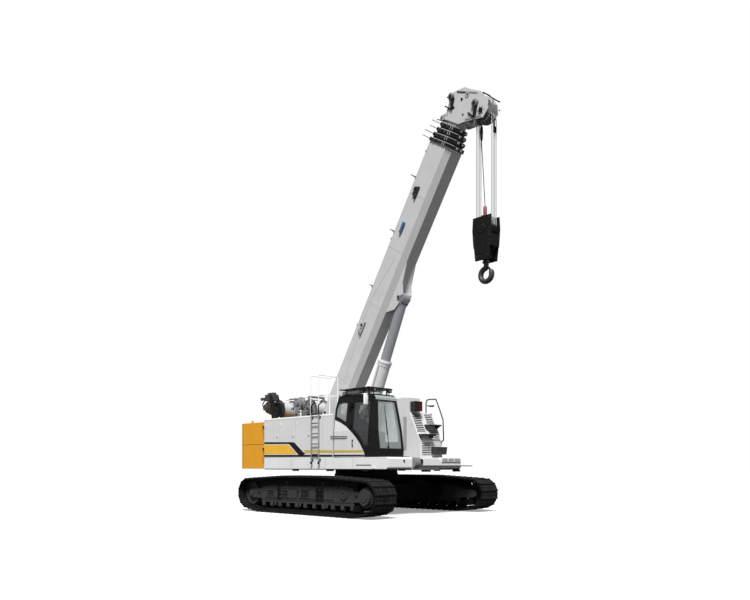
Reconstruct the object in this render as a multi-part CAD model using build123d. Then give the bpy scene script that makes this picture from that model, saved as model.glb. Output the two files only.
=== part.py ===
"""Telescopic-boom crawler crane, millimetres.

The origin is on the ground under the slew axis. +X is the machine's front, +Y its left side, +Z up.
The boom stands at its rest elevation, all five sections in, with the hook block hanging plumb.
"""
import math
import os

from build123d import *

os.makedirs("parts", exist_ok=True)

# General clearances
seat_gap = 0.3
pin_clearance = 0.05

# Side frames
side_frame_half_length = 1930.0
side_frame_width = 400.0
side_frame_low = 370.0
side_frame_high = 760.0
side_panel_thickness = 16.0

# Crawler tracks
end_wheel_x = side_frame_half_length + 510.0
belt_ground_x = side_frame_half_length + 20.0
track_gauge = 4250.0
shoe_width = 760.0
shoe_count = 58
shoe_plate = 25.0
grouser_height = 20.0
end_wheel_z = 525.0
belt_end_radius = 400.0
belt_corner_radius = 120.0
belt_crown_x = 820.0
belt_crown_z = 1005.0
link_height = 75.0
link_width = 60.0
link_spacing = 250.0
belt_backing = 10.0

# Track wheels
roller_count = 11
roller_radius = 112.0
roller_width = 316.0
roller_flange_radius = 130.0
roller_flange_width = 22.0
roller_axle_radius = 38.0
roller_lug_half = 60.0
roller_z = shoe_plate + grouser_height + link_height + roller_radius + seat_gap
skirt_outer = roller_width / 2 + 32
carrier_roller_x = 760.0
carrier_roller_radius = 80.0
carrier_axle_radius = 25.0
carrier_z = belt_crown_z - link_height - carrier_roller_radius - seat_gap
carrier_reach = 190.0
idler_width = 316.0
idler_flange_width = 160.0
idler_flange_radius = 362.0
sprocket_teeth = 21
sprocket_width = 90.0
drive_hub_radius = 250.0

# Carbody
carbody_half_length = 850.0
carbody_half_width = 900.0
carbody_low = 470.0
carbody_high = 985.0
cross_beam_x = 980.0
cross_beam_length = 440.0
cross_beam_low = 480.0
cross_beam_high = 800.0

# Slew ring
ring_outer_radius = 930.0
ring_inner_radius = 730.0
lower_ring_height = 105.0

# Revolving frame
deck_low = 1230.0
deck_high = 1540.0
deck_front_x = 2300.0
deck_rear_x = -2950.0
half_width = 1500.0
deck_inner_y = 560.0
web_inner_y = 345.0
web_thickness = 40.0
nose_radius = 155.0
front_plate_length = 410.0

# Counterweight
counterweight_rear_x = -4420.0
counterweight_split_z = 1980.0
counterweight_top_z = 2660.0
counterweight_corner = 420.0
counterweight_chamfer = 8.0
lifting_eye_radius = 50.0

# Houses
house_right_front_x = 215.0
house_right_inner_y = 600.0
house_right_top_z = 2750.0
rail_height = 1150.0
house_left_inner_y = web_inner_y + web_thickness + 135.0
house_left_tall_y = house_left_inner_y + 480.0
house_left_walk_z = 2850.0
house_left_top_z = 3260.0
house_left_front = [(1620.0, deck_high + seat_gap), (1600.0, 2050.0), (1220.0, house_left_walk_z)]
tall_front_x = 1200.0
house_wall = 30.0
louvre_reach = 28.0
engine_length = 1250.0
engine_height = 900.0
engine_rear_x = -1500.0

# Cab
cab_width = 980.0
cab_outer_y = half_width
cab_inner_y = cab_outer_y - cab_width
cab_floor_z = deck_high + seat_gap
cab_belt_z = 2250.0
cab_roof_z = 3250.0
cab_lean = 120.0
cab_wall = 45.0
cab_panel = 12.0
cab_profile = [
    (245.0, cab_floor_z), (1945.0, cab_floor_z), (1965.0, 1740.0), (1780.0, 3090.0),
    (1700.0, 3200.0), (520.0, cab_roof_z), (330.0, 3190.0), (245.0, 2860.0),
]
quarter_window = [
    (300.0, 2660.0), (300.0, 2850.0), (375.0, 3040.0), (720.0, 3040.0), (720.0, 2490.0), (420.0, 2620.0),
]
inner_window = [(920.0, 1950.0), (1800.0, 1950.0), (1660.0, 3040.0), (920.0, 3040.0)]
screen_inset = 75.0
screen_low_z = 1760.0
screen_high_z = 3040.0
# Lower edge of the door and upper edge of the light side panel
door_outline = [
    (930.0, 3100.0), (930.0, 2262.0), (1000.0, 2212.0), (1120.0, 2110.0), (1230.0, 1998.0),
    (1320.0, 1892.0), (1390.0, 1790.0), (1470.0, 1650.0), (1660.0, 1650.0), (1660.0, 3100.0),
]
door_window = [
    (990.0, 3040.0), (990.0, 2320.0), (1050.0, 2280.0), (1170.0, 2180.0), (1280.0, 2068.0),
    (1370.0, 1960.0), (1450.0, 1840.0), (1600.0, 1840.0), (1600.0, 3040.0),
]
panel_outline = [
    (262.0, cab_floor_z + 18.0), (1470.0, cab_floor_z + 18.0), (1455.0, 1635.0), (1372.0, 1772.0),
    (1302.0, 1874.0),
    (1212.0, 1980.0), (1104.0, 2090.0), (986.0, 2192.0), (860.0, 2290.0), (710.0, 2385.0),
    (500.0, 2485.0), (262.0, 2570.0),
]
door_gap = 6.0
hinge_x = 927.0
hinge_y = -cab_outer_y - 15.0
hinge_radius = 12.0
hinge_pin_radius = 6.0
hinge_length = 80.0
door_hinge_heights = (2350.0, 2900.0)
glass_thickness = 6.0
roof_guard_z = 3360.0
roof_guard_thickness = 20.0

# Boom
boom_pivot_x = -1470.0
boom_pivot_z = 2450.0
boom_rest_angle = 58.0
boom_height = 800.0
boom_width = 620.0
boom_chamfer_high = 150.0
boom_chamfer_wide = 120.0
boom_wall = 12.0
section_step = 60.0
section_count = 5
base_tip_t = 8560.0
collar_step = 140.0
collar_length = 90.0
collar_proud = 26.0
foot_pin_radius = 70.0
foot_boss_radius = 150.0

# Boom head and rope
rope_radius = 11.0
head_sheave_t = 9520.0
head_sheave_n = -820.0
head_sheave_count = 4
sheave_radius = 255.0
rope_pitch_radius = 230.0
sheave_width = 46.0
groove_depth = sheave_radius - rope_pitch_radius + rope_radius + seat_gap
sheave_spacing = 62.0
sheave_pin_radius = 45.0
head_plate = 30.0
guide_sheave_t = 9570.0
guide_sheave_n = 290.0
guide_sheave_radius = 150.0
jib_pin_t = 9760.0
jib_pin_n = -180.0
jib_pin_bore = 31.0

# Lift cylinder
cylinder_foot_x = -420.0
cylinder_foot_z = 1500.0
cylinder_head_t = 4535.0
cylinder_head_n = -635.0
barrel_radius = 185.0
barrel_length = 3050.0
barrel_bore_start = 300.0
rod_radius = 143.0
rod_length = 3150.0
cylinder_pin_radius = 60.0
cylinder_eye_radius = 140.0
cylinder_eye_width = 296.0
foot_pin_side_gap = 5.0

# Hook block
block_axle_z = 7180.0
block_plate = 30.0
block_half_width = 190.0
block_top_z = 7480.0
block_bottom_z = 6400.0
hook_tip_z = 5820.0
hook_shank_radius = 62.0
hook_bend_radius = 165.0

# Winches
main_drum_x = -3850.0
main_drum_z = 3150.0
aux_drum_x = -2250.0
aux_drum_z = 3080.0
winch_seat_z = 2150.0
winch_plate = 30.0
drum_radius = 210.0
drum_flange_radius = 330.0
drum_half_width = 250.0
drum_flange = 24.0
drum_shaft_radius = 55.0
winch_cheek = 30.0


def block(x0, x1, y0, y1, z0, z1):
    """A box from its six faces."""
    centre = Pos((x0 + x1) / 2, (y0 + y1) / 2, (z0 + z1) / 2)
    return centre * Box(abs(x1 - x0), abs(y1 - y0), abs(z1 - z0))


def side_profile(points, y0, y1):
    """A plate whose outline lies in the XZ plane, from y0 to y1."""
    outline = make_face(Polyline(*[(x, y0, z) for x, z in points], close=True))
    return extrude(outline, amount=y1 - y0, dir=(0, 1, 0))


def plan_profile(points, z0, z1):
    """A plate whose outline lies in the XY plane, from z0 to z1."""
    outline = make_face(Polyline(*[(x, y, z0) for x, y in points], close=True))
    return extrude(outline, amount=z1 - z0, dir=(0, 0, 1))


def rod_y(x, y0, y1, z, radius):
    """A round bar along Y."""
    return Pos(x, (y0 + y1) / 2, z) * Rot(90, 0, 0) * Cylinder(radius, abs(y1 - y0))


def rod_z(x, y, z0, z1, radius):
    """A round bar along Z."""
    return Pos(x, y, (z0 + z1) / 2) * Cylinder(radius, abs(z1 - z0))


def bar(start, end, radius):
    """A round bar between two points."""
    line = Vector(*end) - Vector(*start)
    plane = Plane(origin=start, z_dir=line)
    return extrude(plane * Circle(radius), amount=line.length)


def save(name, *shapes):
    """Write one sub-part, whose solids may stand apart."""
    solids = [solid for shape in shapes for solid in shape.solids()]
    export_step(solids[0] if len(solids) == 1 else Compound(children=solids), f"parts/{name}.step")


def boom_place(shape):
    """Put a piece drawn with the boom level, its foot pin at the origin, at the rest elevation."""
    return Location((boom_pivot_x, 0, boom_pivot_z), (0, -boom_rest_angle, 0)) * shape


def boom_point(t, n):
    """World X and Z of a point t along the boom and n above its centre line."""
    angle = math.radians(boom_rest_angle)
    x = boom_pivot_x + t * math.cos(angle) - n * math.sin(angle)
    z = boom_pivot_z + t * math.sin(angle) + n * math.cos(angle)
    return x, z


# Crawler belt: a band round six circles, as its shoes' inner faces run

belt_circles = [
    (-belt_ground_x, shoe_plate + grouser_height + belt_corner_radius, belt_corner_radius),
    (belt_ground_x, shoe_plate + grouser_height + belt_corner_radius, belt_corner_radius),
    (end_wheel_x, end_wheel_z, belt_end_radius),
    (belt_crown_x, belt_crown_z - belt_corner_radius, belt_corner_radius),
    (-belt_crown_x, belt_crown_z - belt_corner_radius, belt_corner_radius),
    (-end_wheel_x, end_wheel_z, belt_end_radius),
]


def belt_pieces():
    """Straight runs and arcs of the band, anticlockwise seen from the machine's right."""
    count = len(belt_circles)
    normals = []
    for index in range(count):
        xa, za, ra = belt_circles[index]
        xb, zb, rb = belt_circles[(index + 1) % count]
        length = math.hypot(xb - xa, zb - za)
        heading = math.atan2(zb - za, xb - xa)
        normals.append(heading - math.pi / 2 - math.asin((rb - ra) / length))
    pieces = []
    for index in range(count):
        xa, za, ra = belt_circles[index]
        xb, zb, rb = belt_circles[(index + 1) % count]
        entry, leave = normals[index - 1], normals[index]
        while leave < entry:
            leave += 2 * math.pi
        pieces.append(("arc", xa, za, ra, entry, leave))
        start = (xa + ra * math.cos(leave), za + ra * math.sin(leave))
        end = (xb + rb * math.cos(leave), zb + rb * math.sin(leave))
        pieces.append(("run", start, end, leave))
    return pieces


def belt_point(distance, offset):
    """Point on the band at a distance along it, moved outwards by the offset."""
    for piece in belt_pieces():
        if piece[0] == "arc":
            _, x, z, radius, entry, leave = piece
            length = radius * (leave - entry)
            if distance <= length:
                angle = entry + distance / radius
                return x + (radius + offset) * math.cos(angle), z + (radius + offset) * math.sin(angle)
        else:
            _, start, end, angle = piece
            length = math.hypot(end[0] - start[0], end[1] - start[1])
            if distance <= length:
                share = distance / length
                x = start[0] + (end[0] - start[0]) * share + offset * math.cos(angle)
                z = start[1] + (end[1] - start[1]) * share + offset * math.sin(angle)
                return x, z
        distance -= length
    return belt_point(0.0, offset)


def belt_length():
    """Length of the band along the shoes' inner faces."""
    total = 0.0
    for piece in belt_pieces():
        if piece[0] == "arc":
            total += piece[3] * (piece[5] - piece[4])
        else:
            total += math.hypot(piece[2][0] - piece[1][0], piece[2][1] - piece[1][1])
    return total


def track(side):
    """One crawler belt: shoes with a grouser each, on two rows of links."""
    pitch = belt_length() / shoe_count
    outer = []
    inner = []
    link_line = []
    # share of the pitch, height above the inner face
    shoe_outline = [
        (0.04, 0.0), (0.04, shoe_plate), (0.12, shoe_plate + grouser_height),
        (0.22, shoe_plate + grouser_height), (0.30, shoe_plate), (0.96, shoe_plate), (0.96, 0.0),
    ]
    for index in range(shoe_count):
        for share, height in shoe_outline:
            outer.append(belt_point((index + share) * pitch, height))
        for share in (0.0, 0.5):
            inner.append(belt_point((index + share) * pitch, -belt_backing))
            link_line.append(belt_point((index + share) * pitch, -link_height))
    y = side * track_gauge / 2
    shoes = side_profile(outer, y - shoe_width / 2, y + shoe_width / 2)
    shoes -= side_profile(inner, y - shoe_width / 2 - 1, y + shoe_width / 2 + 1)
    belt = shoes
    for row in (-1, 1):
        row_y = y + row * link_spacing / 2
        links = side_profile(inner, row_y - link_width / 2, row_y + link_width / 2)
        links -= side_profile(link_line, row_y - link_width, row_y + link_width)
        belt += links
    return belt


def side_frame(side):
    """Box beam between the belt's runs, with skirts over the rollers and raised outer panels."""
    y = side * track_gauge / 2
    outward = side
    half = side_frame_width / 2
    beam = side_profile(
        [
            (-side_frame_half_length, side_frame_low), (side_frame_half_length, side_frame_low),
            (side_frame_half_length, side_frame_high - 60), (side_frame_half_length - 260, side_frame_high),
            (-side_frame_half_length + 260, side_frame_high), (-side_frame_half_length, side_frame_high - 60),
        ],
        y - half, y + half,
    )
    # first and last X of each raised outer panel
    for first, last in [(-1750, -1180), (-1080, -330), (-230, 480), (600, 1180)]:
        face = y + outward * half
        beam += block(first, last, face, face + outward * side_panel_thickness, 430, side_frame_high - 60)
    # recesses between the panels
    for x in (-1130, -280, 540):
        face = y + outward * half
        beam -= block(x - 35, x + 35, face - outward * 60, face, 470, side_frame_high - 120)
    # a narrow skirt each side with a lug down to every roller axle
    skirt_low = roller_z + roller_axle_radius + 22
    for edge in (-1, 1):
        inner_face = y + edge * (skirt_outer - 25)
        outer_face = y + edge * skirt_outer
        beam += block(
            -side_frame_half_length, side_frame_half_length, inner_face, outer_face,
            skirt_low, side_frame_low,
        )
        for x in roller_places():
            beam += block(
                x - roller_lug_half, x + roller_lug_half, inner_face, outer_face,
                roller_z - roller_axle_radius - 8, skirt_low + 1,
            )
    for x in roller_places():
        beam -= rod_y(x, y - half, y + half, roller_z, roller_axle_radius + pin_clearance)
    # yokes that carry the idler and the final drive, each side of the wheel
    for end in (-1, 1):
        for edge in (-1, 1):
            inner_face = y + edge * (half - 36)
            outer_face = y + edge * half
            beam += side_profile(
                [
                    (end * (side_frame_half_length - 10), side_frame_low + 20),
                    (end * (end_wheel_x - 60), end_wheel_z - 120),
                    (end * (end_wheel_x + 90), end_wheel_z - 60),
                    (end * (end_wheel_x + 90), end_wheel_z + 60),
                    (end * (end_wheel_x - 60), end_wheel_z + 120),
                    (end * (side_frame_half_length - 10), side_frame_high - 90),
                ],
                min(inner_face, outer_face), max(inner_face, outer_face),
            )
        beam -= rod_y(end * end_wheel_x, y - half - 1, y + half + 1, end_wheel_z, 60 + pin_clearance)
    # pedestals of the two carrier rollers
    for x in (-carrier_roller_x, carrier_roller_x):
        for edge in (-1, 1):
            beam += block(
                x - 60, x + 60, y + edge * (carrier_reach - 22), y + edge * carrier_reach,
                side_frame_high - 5, carrier_z + 40,
            )
        beam -= rod_y(x, y - half, y + half, carrier_z, carrier_axle_radius + pin_clearance)
    return beam


def flat_radius(offset_inwards):
    """Least radius at an end wheel of the belt's inner faces, which are flats between the half pitches."""
    half_angle = belt_length() / shoe_count / 4 / belt_end_radius
    return (belt_end_radius - offset_inwards) * math.cos(half_angle)


def roller_places():
    """X of each lower roller's axle."""
    first = -belt_ground_x + 90
    step = 2 * -first / (roller_count - 1)
    return [first + index * step for index in range(roller_count)]


def rollers(side):
    """Lower rollers and the two carrier rollers of one track."""
    y = side * track_gauge / 2
    flange_outer = link_spacing / 2 - link_width / 2 - 4
    wheels = []
    for x in roller_places():
        wheel = rod_y(x, y - roller_width / 2, y + roller_width / 2, roller_z, roller_radius)
        wheel -= rod_y(x, y - 30, y + 30, roller_z, roller_radius) - rod_y(x, y - 30, y + 30, roller_z, 80)
        for edge in (-1, 1):
            face = y + edge * flange_outer
            wheel += rod_y(x, face, face - edge * roller_flange_width, roller_z, roller_flange_radius)
        wheel += rod_y(x, y - skirt_outer, y + skirt_outer, roller_z, roller_axle_radius)
        wheels.append(wheel)
    for x in (-carrier_roller_x, carrier_roller_x):
        wheel = rod_y(x, y - roller_width / 2, y + roller_width / 2, carrier_z, carrier_roller_radius)
        wheel += rod_y(x, y - carrier_reach, y + carrier_reach, carrier_z, carrier_axle_radius)
        wheels.append(wheel)
    return wheels


def idler(side):
    """Plain rear guide wheel with a dished web."""
    y = side * track_gauge / 2
    rim_radius = flat_radius(link_height) - seat_gap
    wheel = rod_y(-end_wheel_x, y - idler_width / 2, y + idler_width / 2, end_wheel_z, rim_radius)
    flange_half = idler_flange_width / 2
    wheel += rod_y(-end_wheel_x, y - flange_half, y + flange_half, end_wheel_z, idler_flange_radius)
    for edge in (-1, 1):
        face = y + edge * idler_width / 2
        dish = rod_y(-end_wheel_x, face, face - edge * 35, end_wheel_z, rim_radius - 50)
        dish -= rod_y(-end_wheel_x, face, face - edge * 35, end_wheel_z, 120)
        wheel -= dish
    wheel += rod_y(-end_wheel_x, y - side_frame_width / 2, y + side_frame_width / 2, end_wheel_z, 60)
    return wheel


def sprocket(side):
    """Toothed drive wheel with its final-drive hub on the outer side."""
    y = side * track_gauge / 2
    root_radius = belt_end_radius - link_height - 22
    tip_radius = flat_radius(belt_backing) - 4
    wheel = rod_y(end_wheel_x, y - sprocket_width / 2, y + sprocket_width / 2, end_wheel_z, root_radius)
    tooth_half = math.pi * root_radius / sprocket_teeth * 0.55
    tooth = side_profile(
        [
            (root_radius - 12, -tooth_half), (tip_radius - 12, -tooth_half * 0.5), (tip_radius, 0),
            (tip_radius - 12, tooth_half * 0.5), (root_radius - 12, tooth_half),
        ],
        y - sprocket_width / 2, y + sprocket_width / 2,
    )
    for index in range(sprocket_teeth):
        turned = Rot(0, index * 360 / sprocket_teeth, 0) * tooth
        wheel += Pos(end_wheel_x, 0, end_wheel_z) * turned
    face = y + side * side_frame_width / 2
    wheel += rod_y(end_wheel_x, y - side * side_frame_width / 2, face + side * 20, end_wheel_z, 60)
    wheel += rod_y(end_wheel_x, face + side * seat_gap, face + side * 70, end_wheel_z, drive_hub_radius)
    wheel += rod_y(end_wheel_x, face + side * 60, face + side * 150, end_wheel_z, drive_hub_radius - 60)
    wheel += rod_y(end_wheel_x, face + side * 1, face + side * 165, end_wheel_z, 100)
    return wheel


def carbody():
    """Centre box with two cross beams that run out to the side frames."""
    corner = 200
    long, wide = carbody_half_length, carbody_half_width
    centre = plan_profile(
        [
            (-long, corner - wide), (corner - long, -wide), (long - corner, -wide), (long, corner - wide),
            (long, wide - corner), (long - corner, wide), (corner - long, wide), (-long, wide - corner),
        ],
        carbody_low, carbody_high - 60,
    )
    centre += rod_z(0, 0, carbody_high - 70, carbody_high, ring_outer_radius + 20)
    reach = track_gauge / 2 - side_frame_width / 2
    for end in (-1, 1):
        middle = end * cross_beam_x
        half = cross_beam_length / 2
        centre += block(middle - half, middle + half, -reach, reach, cross_beam_low, cross_beam_high)
        for side in (-1, 1):
            centre += block(
                middle - half - 60, middle + half + 60, side * reach, side * (reach - 40),
                cross_beam_low - 60, cross_beam_high - 20,
            )
    # deep gussets from the centre box to the cross beams
    for end in (-1, 1):
        for side in (-1, 1):
            centre += plan_profile(
                [
                    (end * (carbody_half_length - 260), side * 600),
                    (end * (cross_beam_x + 180), side * 600),
                    (end * (cross_beam_x + 180), side * 1250),
                ],
                cross_beam_high - 5, cross_beam_high + 60,
            )
    centre -= rod_z(0, 0, carbody_low - 10, carbody_high + 10, 260)
    return centre


def lower_ring():
    """Outer race of the slew bearing, on the carbody."""
    ring = rod_z(0, 0, carbody_high, carbody_high + lower_ring_height, ring_outer_radius)
    return ring - rod_z(0, 0, carbody_high - 1, carbody_high + lower_ring_height + 1, ring_inner_radius)


def upper_ring():
    """Inner race of the slew bearing, under the revolving frame."""
    low = carbody_high + lower_ring_height + seat_gap
    ring = rod_z(0, 0, low, deck_low - 30, ring_outer_radius - 25)
    return ring - rod_z(0, 0, low - 1, deck_low, ring_inner_radius)


def revolving_frame():
    """Bottom plate with two longitudinal webs that carry the boom foot and the lift cylinder."""
    base = block(deck_rear_x, deck_front_x, -deck_inner_y, deck_inner_y, deck_low - 30, deck_low + 10)
    web_outline = [
        (deck_rear_x, deck_low), (deck_front_x, deck_low), (deck_front_x, deck_high - 40),
        (420, deck_high + 20), (20, 1760), (-620, 1840), (-1050, 2080), (-1230, boom_pivot_z + 40),
        (-1340, boom_pivot_z + 190), (-1600, boom_pivot_z + 190), (-1740, boom_pivot_z + 20),
        (-1880, winch_seat_z), (-2640, winch_seat_z), (-2740, 1900), (deck_rear_x, 1900),
    ]
    for side in (-1, 1):
        inner = side * web_inner_y
        outer = side * (web_inner_y + web_thickness)
        web = side_profile(web_outline, min(inner, outer), max(inner, outer))
        web += rod_y(boom_pivot_x, inner, outer + side * 30, boom_pivot_z, foot_boss_radius)
        web += rod_y(cylinder_foot_x, inner, outer + side * 30, cylinder_foot_z, 120)
        base += web
    base -= rod_y(boom_pivot_x, -500, 500, boom_pivot_z, foot_pin_radius + pin_clearance)
    base -= rod_z(0, 0, deck_low - 60, deck_low + 40, 260)
    base += block(deck_rear_x, deck_rear_x + 40, -web_inner_y - 5, web_inner_y + 5, deck_low, 1900)
    front = deck_front_x - 60
    base += block(front, deck_front_x, -deck_inner_y, deck_inner_y, deck_low, deck_high - 45)
    return base


def foot_pin():
    """Boom foot pin through both webs."""
    reach = web_inner_y + web_thickness + 45
    return rod_y(boom_pivot_x, -reach, reach, boom_pivot_z, foot_pin_radius)


def side_deck(side):
    """Box along one side of the revolving frame, its front corner rounded."""
    outer = side * half_width
    inner = side * (deck_inner_y + seat_gap)
    deck = block(deck_rear_x, deck_front_x, inner, outer, deck_low, deck_high)
    deck = fillet(deck.edges().filter_by(Axis.Y).group_by(Axis.X)[-1], 60)
    return deck


def deck_nose():
    """Dark round bumper on the frame's front, beside the boom."""
    right, left = -deck_inner_y, -web_inner_y
    bumper = rod_y(deck_front_x - 40, right, left, (deck_low + deck_high) / 2, nose_radius)
    front = deck_front_x + seat_gap
    return bumper - block(front - 400, front, right - 1, left + 1, deck_low - 50, deck_high + 50)


def counterweight(low, high):
    """One slab of the rear counterweight, rounded at its rear corners."""
    front = deck_rear_x - seat_gap
    slab = block(counterweight_rear_x, front, -half_width, half_width, low, high)
    rear = slab.edges().filter_by(Axis.Z).group_by(Axis.X)[0]
    slab = fillet(rear, counterweight_corner)
    levels = slab.faces().sort_by(Axis.Z)
    slab = chamfer(levels[0].edges() + levels[-1].edges(), counterweight_chamfer)
    slab -= block(front - 110, front + 1, -half_width - 1, -half_width + 70, low + 120, high - 120)
    slab -= block(front - 110, front + 1, half_width - 70, half_width + 1, low + 120, high - 120)
    return slab


def lifting_eyes():
    """Four plate eyes welded on the upper slab."""
    eyes = []
    top = counterweight_top_z
    for x in (counterweight_rear_x + 400, deck_rear_x - 270):
        for y in (320 - half_width, half_width - 320):
            eye = block(x - lifting_eye_radius, x + lifting_eye_radius, y - 14, y + 14, top - 2, top + 55)
            eye += rod_y(x, y - 14, y + 14, top + 55, lifting_eye_radius)
            eyes.append(eye - rod_y(x, y - 15, y + 15, top + 55, 28))
    return eyes


def house_right():
    """Machinery house behind the cab."""
    low = deck_high + seat_gap
    body = block(
        deck_rear_x, house_right_front_x, -half_width, -house_right_inner_y, low, house_right_top_z,
    )
    top = body.edges().filter_by(Axis.X).group_by(Axis.Z)[-1]
    return fillet(top, 40)


def front_x(z):
    """X of the left house's front at a height."""
    for (x0, z0), (x1, z1) in zip(house_left_front, house_left_front[1:]):
        if z <= z1:
            return x0 + (x1 - x0) * (z - z0) / (z1 - z0)
    return tall_front_x


def house_left():
    """Engine house with a sloping front, a walkway along its outer side and a tall inner part."""
    rear = deck_rear_x
    walk = house_left_walk_z
    top = house_left_top_z
    inner, outer, tall = house_left_inner_y, half_width, house_left_tall_y
    low = deck_high + seat_gap
    body = side_profile([(rear, low)] + house_left_front + [(rear, walk)], inner, outer)
    raised = [(tall_front_x, walk - 1), (tall_front_x, top), (-400, top), (-900, walk - 1)]
    body += side_profile(raised, inner, tall)
    wall = house_wall
    hollow = block(rear + wall, tall_front_x - 100, inner + wall, outer - wall, low + wall, walk - wall)
    front = tall_front_x - wall
    raised = [(front, walk - 100), (front, top - wall), (-380, top - wall), (-880, walk - 100)]
    hollow += side_profile(raised, inner + wall, tall - wall)
    body -= hollow
    for piece in louvres() + radiator_slats() + left_roof_fittings():
        body += piece
    return body


def louvres():
    """Blades of the four air inlets on the sloping front."""
    inner, outer = house_left_inner_y, half_width
    # first and last Y, lowest and highest Z, number of blades
    inlets = [
        (inner + 40, outer - 600, 2300, 2820, 10), (outer - 400, outer - 75, 2560, 2820, 5),
        (outer - 460, outer - 75, 2060, 2340, 5), (inner + 80, outer - 520, 1640, 1940, 6),
    ]
    blades = []
    for y0, y1, low, high, count in inlets:
        for index in range(count):
            z = low + (index + 0.35) * (high - low) / count
            tip = front_x(z) + louvre_reach
            outline = [(front_x(z + 26) - 2, z + 26), (front_x(z) - 2, z), (tip, z), (tip, z + 5)]
            blades.append(side_profile(outline, y0, y1))
    return blades


def radiator_slats():
    """Slats of the radiator outlet at the rear of the left side."""
    slats = []
    y = half_width
    for index in range(18):
        z = 1775 + index * 46
        points = [(y - 2, z + 26), (y - 2, z), (y + 20, z), (y + 20, z + 5)]
        face = make_face(Polyline(*[(-2740, slat_y, slat_z) for slat_y, slat_z in points], close=True))
        slats.append(extrude(face, amount=1080, dir=(1, 0, 0)))
    return slats


def left_roof_fittings():
    """Air cleaner and cover on the walkway roof, silencer outlet and hatch on the tall part."""
    walk, top = house_left_walk_z, house_left_top_z
    y = house_left_inner_y + 280
    cleaner = rod_z(-1400, y, walk - 2, walk + 60, 190)
    cleaner += rod_z(-1400, y, walk + 50, walk + 200, 165)
    cleaner += rod_z(-1400, y, walk + 190, walk + 235, 60)
    outlet = rod_z(-300, y - 20, top - 2, top + 190, 78) - rod_z(-300, y - 20, top + 60, top + 191, 66)
    outlet += block(-374, -226, y - 26, y - 14, top + 150, top + 205)
    outlet += rod_z(-300, y - 20, top + 195, top + 215, 112)
    cover = block(-2700, -1900, y - 180, half_width - 200, walk - 2, walk + 32)
    hatch = block(150, 950, y - 200, house_left_tall_y - 80, top - 2, top + 22)
    return [cleaner, outlet, cover, hatch]


def engine_block():
    """Engine and pumps, as one plain mass inside the left house."""
    low = deck_high + seat_gap + house_wall + seat_gap
    inner = house_left_inner_y + house_wall + 110
    outer = half_width - house_wall - 110
    return block(engine_rear_x, engine_rear_x + engine_length, inner, outer, low, low + engine_height)


def cab_front_face(inset):
    """The cab's front outline in the YZ plane, moved inwards: upright to the belt line, then leaning in."""
    right, left = -cab_outer_y, -cab_inner_y
    points = [
        (right, cab_floor_z), (left, cab_floor_z), (left, cab_belt_z),
        (left - cab_lean, cab_roof_z), (right + cab_lean, cab_roof_z), (right, cab_belt_z),
    ]
    face = make_face(Polyline(*[(0, y, z) for y, z in points], close=True))
    return offset(face, amount=-inset, kind=Kind.INTERSECTION) if inset else face


def cab_form(inset):
    """The cab's solid form with every face moved inwards: side outline and front outline together."""
    side = make_face(Polyline(*[(x, -cab_outer_y, z) for x, z in cab_profile], close=True))
    if inset:
        side = offset(side, amount=-inset, kind=Kind.INTERSECTION)
    long = extrude(side, amount=cab_width, dir=(0, 1, 0))
    return long & extrude(cab_front_face(inset), amount=cab_profile[2][0] + 50, dir=(1, 0, 0))


def cab_layer(depth, thickness):
    """A skin of the cab's form, that deep under its surface."""
    return cab_form(depth) - cab_form(depth + thickness)


def side_cut(points, growth, right, left):
    """A bar through the cab's sides with an outline grown all round."""
    outline = make_face(Polyline(*[(x, right, z) for x, z in points], close=True))
    grown = offset(outline, amount=growth, kind=Kind.INTERSECTION) if growth else outline
    return extrude(grown, amount=left - right, dir=(0, 1, 0))


def screen_cut(growth):
    """The windscreen's opening, grown all round."""
    form = extrude(Pos(1640, 0, 0) * cab_front_face(screen_inset - growth), amount=500, dir=(1, 0, 0))
    low, high = screen_low_z - growth, screen_high_z + growth
    return form & block(1640, 2140, -cab_outer_y, -cab_inner_y, low, high)


def rear_cut(growth):
    """The rear window's opening."""
    right, left = -cab_outer_y + 230, -cab_inner_y - 230
    return block(200, 420, right - growth, left + growth, 2700 - growth, 3060 + growth)


def roof_cut(growth):
    """The roof window's opening."""
    right, left = -cab_outer_y + 260, -cab_inner_y - 260
    return block(1150 - growth, 1520 + growth, right - growth, left + growth, 3140, 3300)


def cab_shell():
    """Cab walls, floor and roof with the windows and the doorway cut out."""
    right, left = -cab_outer_y - 1, -cab_inner_y + 1
    middle = (right + left) / 2
    shell = cab_layer(0, cab_wall)
    shell -= side_cut(door_outline, door_gap, right, middle)
    shell -= side_cut(quarter_window, 0, right, left)
    shell -= side_cut(inner_window, 0, middle, left)
    shell -= screen_cut(0)
    shell -= rear_cut(0)
    shell -= roof_cut(0)
    shell -= cab_layer(0, cab_panel + seat_gap) & side_cut(panel_outline, seat_gap, right, middle)
    return shell + door_hinge_pins()


def cab_side_panel():
    """Light panel under the door's sweep, let into the cab's outer side."""
    right, left = -cab_outer_y - 1, -cab_inner_y + 1
    return cab_layer(0, cab_panel) & side_cut(panel_outline, 0, right, (right + left) / 2)


def cab_glass():
    """Fixed panes of the cab, a little smaller than their openings."""
    right, left = -cab_outer_y - 1, -cab_inner_y + 1
    middle = (right + left) / 2
    layer = cab_layer(20, glass_thickness)
    return [
        layer & screen_cut(-seat_gap),
        layer & side_cut(quarter_window, -seat_gap, right, middle),
        layer & side_cut(quarter_window, -seat_gap, middle, left),
        layer & side_cut(inner_window, -seat_gap, middle, left),
        layer & rear_cut(-seat_gap),
        layer & roof_cut(-seat_gap),
    ]


def side_y(z):
    """Y of the cab's outer side at a height."""
    return -cab_outer_y + cab_lean * max(0, z - cab_belt_z) / (cab_roof_z - cab_belt_z)


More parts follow.
